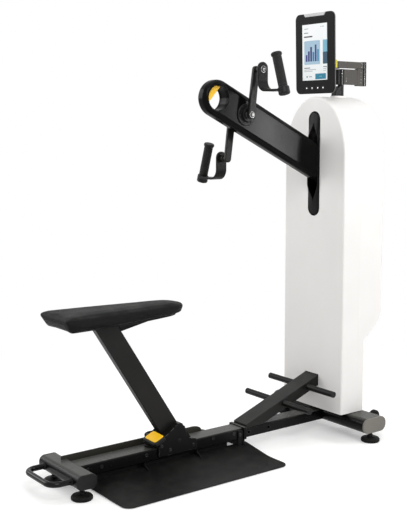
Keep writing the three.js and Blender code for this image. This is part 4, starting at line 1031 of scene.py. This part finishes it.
def bracketStrip():
    # The strip runs down from its rounded lobe, bends outward and ends under the grip
    inner, outer, half, bend, lobeTop = pick(bracketSize, "inner outer halfWidth bend lobeTop")
    middle, thick, drop = (inner + outer) / 2, (outer - inner) / 2, gripSize["drop"]
    line = [(middle, lobeTop - half + half * sinOf(a), half * cosOf(a), 0) for a in range(88, -1, -8)]
    line.append((middle, -drop + bend + 4, half, 0))
    radius = bend - thick
    for a in range(0, 91, 9):
        line.append((inner + bend - radius * cosOf(a), -drop + bend - radius * sinOf(a), half, a))
    line.append((gripSize["footX"], -drop + thick, half, 90))
    rings = []
    for x, z, wide, angle in line:
        across = Vector((cosOf(angle), 0, sinOf(angle)))
        section = roundedBox(-thick, thick, -wide, wide, min(1.6, wide * 0.4), 3)
        rings.append([Vector((x, 0, z)) + across * u + Vector((0, v, 0)) for u, v in section])
    return loft(rings)


def gripProfile():
    # Shallow ribs between a flared head and the stand
    profile = [(9.8, 16.3), (16, 16.3, 1), (17, 20, 1)]
    for i in range(gripSize["ribs"]):
        z = gripSize["firstRib"] + i * gripSize["pitch"]
        profile += [(17, z, 0.4), (16.9, z + 3, 0.4), (16.1, z + 3.5, 0.3), (16.1, z + 3.9, 0.3)]
    head = [(17, 130, 2), (20, 135, 1.5), (20, 141, 1.5), (17.5, 143.6, 1.5), (8, 143.9, 3), (0, 144)]
    return profile + head


def makeHandle(side):
    place = crankPlace @ moved(0, 0, sides[side] * joints["crankLength"]) @ tipped(joints["handleLean"])
    on = (place, f"{side}_handle")
    foot, drop = gripSize["footX"], gripSize["drop"]
    lean = math.degrees(math.atan2(foot - gripSize["headX"], drop + gripSize["rise"]))
    turn = mirrored[side] @ (moved(foot, 0, -drop) @ tipped(-lean, "Y"))
    strip = turnedOut(bracketStrip(), mirrored[side])
    addPiece(f"{side}_bracket_strip", strip, satinBlack, f"{side}_handle_bracket", on=on)
    addPiece(f"{side}_grip_stand", turnedOut(lathe("Z", standProfile), turn), darkPlastic, on=on)
    grip = turnedOut(lathe("Z", gripProfile(), 56), turn)
    addPiece(f"{side}_ribbed_grip", grip, gripRubber, f"{side}_hand_grip", on, 50)
    addRingedBolt(f"{side}_pivot", 100.4, 12.3, mirrored[side], on)


for side in sides:
    makeCrank(side)
    makeHandle(side)
print("cranks and handles made")

# Seat carriage, post, pan and cushion

cheekOutline = [(-776, 56), (-609, 56), (-609, 86), *curved((-609, 86), (-610, 95), (-618, 97)), (-632, 99),
                *curved((-632, 99), (-650, 103), (-655, 123)), (-662, 150, 3), (-691, 164, 3), (-748, 127),
                *curved((-748, 127), (-772, 131), (-781, 121)),
                *curved((-781, 121), (-783, 110), (-776, 104))]
cheekSpan = (38.3, 44)
carriageBolts = [(-687.6, 101.4), (-624.1, 72.3), (-729, 73.7), (-765.7, 94)]
paddleSize = {"x": 40, "y": -794, "z": 127, "pitch": 23.4, "roll": 2}
clampProfile = [(0, 0), (19, 0, 0.5), (21, 2, 0.6), (21, 6, 0.6), (19, 8, 0.8), (5, 8), (5, 24), (0, 24)]


def makeCarriage():
    addSolid("carriage_block", "carriage_base", satinBlack, 0.8)
    bolts = []
    for side, sign in sides.items():
        cheek = sidePlate(sign, softened(cheekOutline, 5), *cheekSpan, 1.2)
        addPiece(f"{side}_carriage_cheek", cheek, cheekBlackEdgeLit, f"{side}_carriage_plate", on=onSeat)
        bolts += sideBolts(sign, cheekSpan[1], carriageBolts, 5.2, 2.6, 7.2)
    addSolid("post_socket_block", "post_socket", satinBlack, 1.6)
    addSolid("leaning_seat_post", "seat_post", satinGrey, 1.2, 3)
    addSolid("cushion_pan", "seat_pan", satinBlack, 0.8)
    addPiece("carriage_bolts", bolts, blackOxide, None, onSeat)


def makePaddle():
    x, y, z, pitch, roll = paddleSize.values()
    addSolid("paddle_lever", "seat_release_paddle", darkPlastic, 1.2, body="release_paddle")
    pad = plate("Z", roundedBox(-30, 35.5, -19.5, 22.5, 7, 6), 6.3, 10, 1.4, steps=4)
    on = (columnPlace @ moved(x, y, z) @ tipped(roll, "Y") @ tipped(pitch), "release_paddle")
    addPiece("yellow_paddle_pad", pad, yellowPlastic, "paddle_pad", on)
    on = (columnPlace @ moved(0, -786, 88.3), "rail_clamp")
    addPiece("round_clamp_foot", lathe("Z", clampProfile, 40), rubber, "rail_clamp_foot", on)


makeCarriage()
makePaddle()

cushionSize = {"rear": -1164, "voxel": 0.0035, "pressure": 2.6, "cap": 0.0025, "stretch": (1.045, 1.018, 1.0),
               "frames": 20, "seamLength": 27, "seamHalf": 0.0012}


def makeLeatherette():
    size = cushionSize
    material, tree, shader = newMaterial("grained leatherette")
    grain = addGrain(tree, 700, 0.00015)
    marks = addMarks(tree)
    where = objectSpace(tree)
    cells = addNode(tree, "TexVoronoi", {"Vector": where, "Scale": 620.0}, feature="DISTANCE_TO_EDGE")
    creases = ramp(tree, cells["Distance"], 0.0, 0.16)
    color = blend(tree, grain["Tone"], srgb((18, 18, 19)), srgb((24, 24, 25)))
    # The grain's creases are painted darker: painted shade in the crevices
    color = blend(tree, mathNode(tree, "MULTIPLY_ADD", creases, -0.35, 0.35), color, srgb((10, 10, 11)))
    color = blend(tree, times(tree, marks["Dust"], 0.06), color, srgb((170, 165, 158)))
    place = addNode(tree, "SeparateXYZ", {0: where})
    rear = mathNode(tree, "LESS_THAN", place["Y"], (faceShift + size["rear"] + size["seamLength"]) * mm)
    middle = mathNode(tree, "LESS_THAN", mathNode(tree, "ABSOLUTE", place["X"]), size["seamHalf"])
    seam = times(tree, rear, middle)
    sunk = mathNode(tree, "MULTIPLY_ADD", seam, -4.0, creases)
    bump = addNode(tree, "Bump", {"Height": sunk, "Distance": 0.0003, "Normal": grain["Normal"]})[0]
    plug(tree, shader, {"Base Color": blend(tree, seam, color, srgb((5, 5, 5))), "Normal": bump,
                        "Roughness": ramp(tree, creases, 0, 1, 0.62, 0.46), "Specular IOR Level": 0.09})
    return material


def stuff(cushion, mesh):
    # Cloth under pressure swells the mesh, and no point goes further than the cap
    size = cushionSize
    start = [vertex.co.copy() for vertex in mesh.vertices]
    cloth = cushion.modifiers.new("stuffing", "CLOTH")
    cloth.settings.quality = 5
    cloth.settings.use_pressure = True
    cloth.settings.uniform_pressure_force = size["pressure"]
    cloth.settings.effector_weights.gravity = 0
    cloth.point_cache.frame_start = 1
    cloth.point_cache.frame_end = size["frames"]
    for number in range(1, size["frames"] + 1):
        scene.frame_set(number)
    depsgraph = bpy.context.evaluated_depsgraph_get()
    blown = bpy.data.meshes.new_from_object(cushion.evaluated_get(depsgraph))
    cushion.modifiers.clear()
    for vertex, before, after in zip(mesh.vertices, start, blown.vertices):
        step = after.co - before
        reach = min(step.length, size["cap"])
        vertex.co = before + step.normalized() * reach if step.length > 1e-7 else before
    scene.frame_set(1)


def makeCushion():
    smoothing = ("SMOOTH", {"iterations": 1, "factor": 0.5})
    mesh = meshFrom(packedShape("seat_cushion"))
    low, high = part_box("seat_cushion")
    middle = (Vector(low) + Vector(high)) / 2
    swollen = Matrix.Diagonal((*cushionSize["stretch"], 1))
    mesh.transform(Matrix.Translation(middle) @ swollen @ Matrix.Translation(-middle))
    mesh = baked(mesh, ("REMESH", {"mode": "VOXEL", "voxel_size": cushionSize["voxel"]}), smoothing)
    cushion = bpy.data.objects.new("padded_seat", mesh)
    scene.collection.objects.link(cushion)
    stuff(cushion, mesh)
    bpy.data.objects.remove(cushion)
    piece = addPiece("padded_bench_seat", baked(mesh, smoothing), makeLeatherette(), "seat_cushion",
                     (identity, "seat_carriage"), 80)
    soft = piece.modifiers.new("soft skin", "SUBSURF")
    soft.levels = 1
    soft.render_levels = 1


makeCushion()
print("seat made")

# Console on its swing arm

keyPlaces = (-46.5, -15.2, 16.7, 46.6)
consoleSize = {"halfWidth": 109, "bottom": 1357.5, "top": 1668.5, "front": -3.5, "depth": 9, "rim": 4,
               "corner": 24, "screenHalfWidth": 70, "screenBottom": 1410, "screenTop": 1626.5, "keyZ": 1380}
elbowSize = {"y": 266, "radius": 13}
lowerArmSize = {"bottom": 1391.5, "top": 1460.3, "barBottom": 1395.5, "barTop": 1456.5}
upperArmSize = {"earBottom": 1457.4, "earTop": 1460.4, "barBottom": 1461, "barTop": 1487.5}
swivelY = 104
swivelProfile = [(0, 1454), (5, 1454), (5, 1460.8), (12, 1460.8, 0.8), (12, 1490.5, 0.8), (10, 1492.5, 0.8),
                 (0, 1492.5)]
pinProfile = [(0, -29), (5, -29, 0.6), (5, -19.5), (9, -19.5, 0.8), (9, 19.5, 0.8), (5, 19.5), (5, 29, 0.6),
              (0, 29)]


def upright(profile, y, count=48):
    return shifted(lathe("Z", profile, count), moved(0, y, 0))


def barPlate(rear, front, bottom, top):
    return plate("X", roundedBox(rear, front, bottom, top, 3, 4), -8, 8, 2, steps=4)


def ribs(y, radius, low, high, turns=(-52, -18)):
    # Narrow upright ribs on a hinge barrel, the same on both sides
    rib = plate("Z", roundedBox(radius - 1.2, radius + 0.5, -0.8, 0.8, 0.4, 2), low, high, 0.3)
    return [shifted(rib, moved(0, y, 0) @ tipped(turn, "Z"))
            for turn in [*turns, *(180 - value for value in turns)]]


def armScrews(places, x):
    # Small countersunk screws on both faces of an arm bar
    return [part for place in places for sign in sides.values() for part in sideBolts(sign, x, [place], 2, 1)]


def makeLowerArm():
    y, radius = elbowSize["y"], elbowSize["radius"]
    post, bore = armSize["postY"], armSize["pinRadius"] + 0.4
    foot, outer = armSize["shoulder"] + 0.4, armSize["radius"]
    bottom, top, barBottom, barTop = pick(lowerArmSize, "bottom top barBottom barTop")
    pinTop = upperArmSize["barTop"]
    on = (columnPlace, "lower_arm")
    block = plate("X", roundedBox(225, y, bottom, top, 3, 4), -9, 9, 1.6, steps=4)
    bar = [barPlate(post + 11, y - 10, barBottom, barTop), block]
    addPiece("lower_arm_bar", bar, armPaint, "lower_arm_link", on)
    collar = upright(sleeve(bore, outer, foot, barTop, 0.8, 1), post)
    lobe = plate("Z", roundedBox(-9, 9, post - 26, post - 8, 7, 6), foot + 1, barTop - 1, 1.2, steps=3)
    knuckle = upright([(0, bottom), (radius, bottom, 1), (radius, top, 0.6), (0, top)], y)
    pin = upright([(0, 1460), (6, 1460), (6, pinTop, 0.6), (0, pinTop)], y, 32)
    addPiece("lower_arm_barrels", [collar, lobe, knuckle, pin], darkPlastic, on=on)
    lines = [*ribs(post, outer, foot + 2, 1454, (-62, -16)), *ribs(y, radius, 1393, 1459)]
    lines += armScrews([(245, 1405), (245, 1418), (245, 1432), (245, 1446), (160, 1420), (160, 1408)], 8.8)
    addPiece("lower_arm_ribs", lines, zincSteel, None, on)


def makeUpperArm():
    y, radius = elbowSize["y"], elbowSize["radius"]
    bottom, top, barBottom, barTop = pick(upperArmSize, "earBottom earTop barBottom barTop")
    on = (columnPlace, "upper_arm")
    root = plate("X", roundedBox(swivelY + 12.6, swivelY + 22, bottom, 1466, 1, 2), -7, 7, 0.6)
    ear = upright(sleeve(5.4, 10.5, bottom, top, 0.5, 0.4), swivelY)
    tongue = plate("Z", roundedBox(-7, 7, swivelY + 6, swivelY + 20, 0.8, 2), bottom, top, 0.5)
    bar = [barPlate(swivelY + 13, y - 10, barBottom, barTop), root, ear, tongue]
    addPiece("upper_arm_bar", bar, armPaint, "upper_arm_link", on)
    barrel = upright(sleeve(6.4, radius, 1460.7, 1488.5, 0.6, 1.2, 0.4), y)
    addPiece("upper_arm_barrel", barrel, darkPlastic, on=on)
    lines = [*ribs(y, radius, 1462, 1487), *armScrews([(247, 1467), (247, 1482)], 7.8)]
    addPiece("upper_arm_ribs", lines, zincSteel, None, on)


def makeSwivel():
    neck = plate("X", roundedBox(joints["pinY"], swivelY - 6, 1465, 1484, 3, 4), -9, 9, 1.4)
    cross = shifted(lathe("X", pinProfile, 32), toPin)
    mesh = [upright(swivelProfile, swivelY), neck, cross]
    addPiece("yellow_swivel", mesh, swivelYellow, "swivel_knuckle", (columnPlace, "swivel"))


def windowOutline(gap):
    half, bottom, top = pick(consoleSize, "screenHalfWidth screenBottom screenTop")
    return roundedBox(-half - gap, half + gap, bottom - gap, top + gap, 1, 3)


def makeConsole():
    half, bottom, top, corner, front = pick(consoleSize, "halfWidth bottom top corner front")
    back, split = front + consoleSize["depth"], front + consoleSize["rim"]
    outline = [(-half, bottom, corner), (half, bottom, corner), (half, top, corner), (63.5, top, 0.8),
               (54.3, top - 13.3, 2), (-54.3, top - 13.3, 2), (-63.5, top, 0.8), (-half, top, corner)]
    outline = softened(outline, 8)
    bezel = plate("Y", outline, front, split, 1.6, [windowOutline(0.3)], 4)
    addPiece("console_front_frame", bezel, bezelPlastic, "console_bezel", on=onConsole)
    band = plate("Y", outline, split, back, 1, [windowOutline(8)], 3)
    addPiece("console_grey_band", band, rimPlastic, None, onConsole)
    steps = [(back + 0.3, 5), (back + 0.5, 4.5), (back + 1.5, 6), (8, 12), (11, 21), (13, 26), (14.4, 30),
             (15, 34)]
    rings = []
    for y, inset in steps:
        wide = half - inset
        ring = roundedBox(-wide, wide, bottom + inset, top - inset, 24 - inset / 2, 8)
        rings.append([(x, y, z) for x, z in ring])
    ears = [plate("X", roundedBox(14, 53, 1462.5, 1486.5, 8, 6), sign * 24.5 - 4, sign * 24.5 + 4, 1)
            for sign in sides.values()]
    shell = [loft(rings), *ears]
    addPiece("console_back_shell", shell, bezelPlastic, "console_back", onConsole)
    outline = [(-53.7, top - 12.7, 1.5), (53.7, top - 12.7, 1.5), (62.6, top - 0.5, 1), (-62.6, top - 0.5, 1)]
    bar = plate("Y", softened(outline, 4), front + 0.4, front + 8.5, 1)
    addPiece("top_light_strip", bar, lightDiffuser, "console_light_bar", onConsole)
    key = lathe("Y", [(0, 0), (2.6, 0), (2.6, 0.5, 0.3), (0, 0.7, 2)], 24)
    ring = lathe("Y", [(2.8, 0), (7.5, 0), (7.5, 0.35, 0.2), (2.8, 0.2, 0.1), (2.8, 0)], 40)
    for name, mesh, material, slot in (("glowing_key_dots", key, keyDotGlow, "light_bar"),
                                       ("key_rings", ring, darkPlastic, "dark_plastic")):
        copies = [shifted(mesh, moved(x, front, consoleSize["keyZ"]) @ tipped(180)) for x in keyPlaces]
        addPiece(name, copies, material, None, onConsole)


def makeScreenGroup():
    # A rounded panel: 1 inside it and 0 outside
    inputs = {"X": 0.0, "Z": 0.0, "Half width": 0.01, "Half height": 0.01, "Radius": 0.001}
    group, given, leave = newGroup("screen panel", inputs, {"Mask": "Float"})
    place = addNode(group, "SeparateXYZ", {0: objectSpace(group)})
    beyond = []
    for axis, half in (("X", "Half width"), ("Z", "Half height")):
        offset = mathNode(group, "ABSOLUTE", mathNode(group, "SUBTRACT", place[axis], given[axis]))
        inner = mathNode(group, "SUBTRACT", given[half], given["Radius"])
        beyond.append(mathNode(group, "MAXIMUM", mathNode(group, "SUBTRACT", offset, inner), 0.0))
    squares = [times(group, value, value) for value in beyond]
    distance = mathNode(group, "SQRT", mathNode(group, "ADD", *squares))
    gap = mathNode(group, "SUBTRACT", given["Radius"], distance)
    plug(group, leave, {"Mask": ramp(group, gap, -0.0002, 0.0002)})
    return group


# The page's panels: middle x and z, half width, half height, corner radius and tone
panels = [
    (-14, -1, 45, 46, 4, (156, 186, 206)), (59, -1, 13, 46, 3, (110, 172, 196)),
    (-47, 92, 12, 1.3, 1.2, (150, 156, 162)), (36, 96, 4, 1.3, 1.2, (170, 176, 180)),
    (48, 96, 5, 1.3, 1.2, (150, 156, 162)), (-48, 76, 13, 1.6, 1.5, (130, 138, 146)),
    (-36, 61, 24, 2.6, 2.4, (34, 38, 46)), (-46, -22, 5, 13, 1.5, (30, 34, 120)),
    (-33, -15, 5, 20, 1.5, (20, 26, 108)), (-20, -7, 5, 28, 1.5, (12, 20, 96)),
    (-7, -17, 5, 18, 1.5, (40, 104, 160)), (6, -3, 5, 32, 1.5, (14, 48, 128)),
    (19, -12, 5, 23, 1.5, (44, 132, 172)), (59, -24, 13, 23, 3, (10, 66, 92)),
    (-43, -60, 17, 1.6, 1.5, (74, 80, 88)), (-26, -67, 34, 1.2, 1.1, (150, 156, 162)),
    (-36, -73, 24, 1.2, 1.1, (158, 164, 168)), (58, -58, 10, 1.5, 1.4, (90, 98, 104)),
    (57, -65, 9, 1.2, 1.1, (158, 164, 168)), (56, -72, 8, 1.2, 1.1, (164, 170, 174)),
    (33, -94, 30, 11, 2, (0, 118, 146)), (33, -94, 7, 0.9, 0.8, (120, 190, 204)),
    (-44, -94, 3.4, 3.4, 3.3, (16, 96, 84)), (-25, -94, 9, 1.4, 1.3, (112, 120, 126)),
]


def makeScreen():
    # A plain training page: cards, a bar chart, grey lines where words would be, and one blue key
    front, half, bottom, top = pick(consoleSize, "front screenHalfWidth screenBottom screenTop")
    middle = (bottom + top) / 2
    panelGroup = makeScreenGroup()
    labels = ("X", "Z", "Half width", "Half height", "Radius")
    material, tree, shader = newMaterial("training page")
    where = objectSpace(tree)
    height = addNode(tree, "SeparateXYZ", {0: where})["Z"]
    color = blend(tree, ramp(tree, height, -0.108, 0.108), srgb((230, 234, 235)), srgb((240, 242, 243)))
    for *sizes, tone in panels:
        inputs = {label: value * mm for label, value in zip(labels, sizes)}
        mask = addNode(tree, "Group", inputs, node_tree=panelGroup)["Mask"]
        color = blend(tree, mask, color, srgb(tone))
    pixels = addNode(tree, "TexChecker", {"Vector": where, "Scale": 4000.0})["Fac"]
    color = blend(tree, times(tree, pixels, 0.03), color, srgb((120, 120, 124)))
    smudges = ramp(tree, noise(tree, where, 30.0, 4.0), 0.4, 0.7, 0.10, 0.18)
    plug(tree, shader, {"Base Color": color, "Emission Color": color, "Emission Strength": 0.03,
                        "Roughness": smudges, "Specular IOR Level": 0.12})
    outline = roundedBox(-half, half, bottom - middle, top - middle, 1, 3)
    glass = plate("Y", outline, front + 0.5, front + 4.7, 0.2)
    on = (onConsole[0] @ moved(0, 0, middle), "console")
    addPiece("display_glass", glass, material, "console_screen", on)


makeLowerArm()
makeUpperArm()
makeSwivel()
makeConsole()
makeScreen()
print("console made")

# Solids that stay as they are get the finish of the real part

keptNodes = {
    satinBlack: ["column_spine", "left_pivot_cheek", "right_pivot_cheek"],
    darkPlastic: ["brake_controller"],
    rubber: ["drive_belt"],
    zincSteel: ["driven_pulley_shaft", "flywheel", "crank_axle"],
}
for material, names in keptNodes.items():
    for name in names:
        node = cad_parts[name]
        node.data.materials.clear()
        node.data.materials.append(material)

# Studio: pale floor, white surround, soft lamps and the camera

white = (1, 1, 1, 1)
lamps = {
    "key": {"place": (3.4, -1.6, 3.6), "aim": (0, 0.2, 0.8), "size": (2.2, 2.2), "power": 89},
    "fill": {"place": (-3.6, -2.6, 2.6), "aim": (0, 0, 0.8), "size": (2.6, 2.6), "power": 84},
    "back": {"place": (1.8, 3.6, 3.2), "aim": (0, 0.4, 0.9), "size": (2.4, 2.4), "power": 29},
    "top": {"place": (0.2, -0.2, 4.4), "aim": (0, 0, 0), "size": (3.2, 3.2), "power": 40},
    "strip": {"place": (1.778, 1.716, 1.2), "aim": (0.03, 0.24, 1.15), "size": (0.26, 0.55), "power": 14},
}
view = {"x": 2855.1, "y": -2669.1, "z": 1228.4, "around": 53.031, "down": 6.357, "lens": 67.84,
        "shiftX": -0.01075, "shiftY": -0.0468, "sensor": 36, "clipEnd": 60}
floorSize = {"half": 9, "z": -0.0005, "cuts": 6, "fadeFrom": 1.1, "fadeTo": 2.0, "glow": 0.3}
surroundLight = 0.45


def seenRays(tree):
    # 1 for what the camera sees, straight, in a reflection or through glass
    path = addNode(tree, "LightPath")
    indirect = mathNode(tree, "MAXIMUM", path["Is Glossy Ray"], path["Is Transmission Ray"])
    return mathNode(tree, "MAXIMUM", path["Is Camera Ray"], indirect)


def makeFloor():
    half, z, cuts, fadeFrom, fadeTo, glowStrength = floorSize.values()
    shape = bmesh.new()
    corners = [(-half, -half), (half, -half), (half, half), (-half, half)]
    shape.faces.new([shape.verts.new((x, y, z)) for x, y in corners])
    bmesh.ops.subdivide_edges(shape, edges=shape.edges, cuts=cuts, use_grid_fill=True)
    mesh = meshFrom(shape)
    material, tree, _ = newMaterial("white studio floor")
    tree.nodes.clear()
    where = objectSpace(tree)
    tone = blend(tree, noise(tree, where, 3.0), srgb((233, 233, 232)), srgb((237, 237, 236)))
    matt = addNode(tree, "BsdfDiffuse", {"Color": tone})[0]
    glow = addNode(tree, "Emission", {"Color": white, "Strength": glowStrength})[0]
    bright = addNode(tree, "Emission", {"Color": white, "Strength": 1.0})[0]
    lifted = addNode(tree, "AddShader", {0: matt, 1: glow})[0]
    distance = addNode(tree, "VectorMath", {0: where}, operation="LENGTH")["Value"]
    share = ramp(tree, distance, fadeFrom, fadeTo)
    faded = addNode(tree, "MixShader", {0: share, 1: lifted, 2: bright})[0]
    surface = addNode(tree, "MixShader", {0: seenRays(tree), 1: matt, 2: faded})[0]
    addNode(tree, "OutputMaterial", {"Surface": surface})
    floor = bpy.data.objects.new("studio_floor", mesh)
    mesh.materials.append(material)
    scene.collection.objects.link(floor)


def makeWorld():
    world = bpy.data.worlds.new("white studio")
    scene.world = world
    world.use_nodes = True
    tree = world.node_tree
    tree.nodes.clear()
    strength = ramp(tree, seenRays(tree), 0, 1, surroundLight, 1.0)
    surround = addNode(tree, "Background", {"Color": white, "Strength": strength})[0]
    addNode(tree, "OutputWorld", {"Surface": surround})


def makeLamps():
    for name, size in lamps.items():
        lamp = bpy.data.lights.new(f"{name} lamp", "AREA")
        lamp.shape = "RECTANGLE"
        lamp.size, lamp.size_y = size["size"]
        lamp.energy = size["power"]
        holder = bpy.data.objects.new(f"{name} lamp", lamp)
        scene.collection.objects.link(holder)
        holder.location = size["place"]
        direction = Vector(size["aim"]) - Vector(size["place"])
        holder.rotation_euler = direction.to_track_quat("-Z", "Y").to_euler()


def makeCamera():
    camera = bpy.data.cameras.new("photo camera")
    camera.lens = view["lens"]
    camera.sensor_width = view["sensor"]
    camera.shift_x = view["shiftX"]
    camera.shift_y = view["shiftY"]
    camera.clip_end = view["clipEnd"]
    around, down = view["around"], view["down"]
    back = Vector((sinOf(around) * cosOf(down), -cosOf(around) * cosOf(down), sinOf(down)))
    right = Vector((cosOf(around), sinOf(around), 0))
    turn = Matrix((right, back.cross(right), back)).transposed().to_4x4()
    holder = bpy.data.objects.new("photo camera", camera)
    scene.collection.objects.link(holder)
    holder.matrix_world = moved(view["x"], view["y"] + faceShift, view["z"]) @ turn
    scene.camera = holder


makeFloor()
makeWorld()
makeLamps()
makeCamera()
scene.view_settings.view_transform = "Standard"
print("studio made")
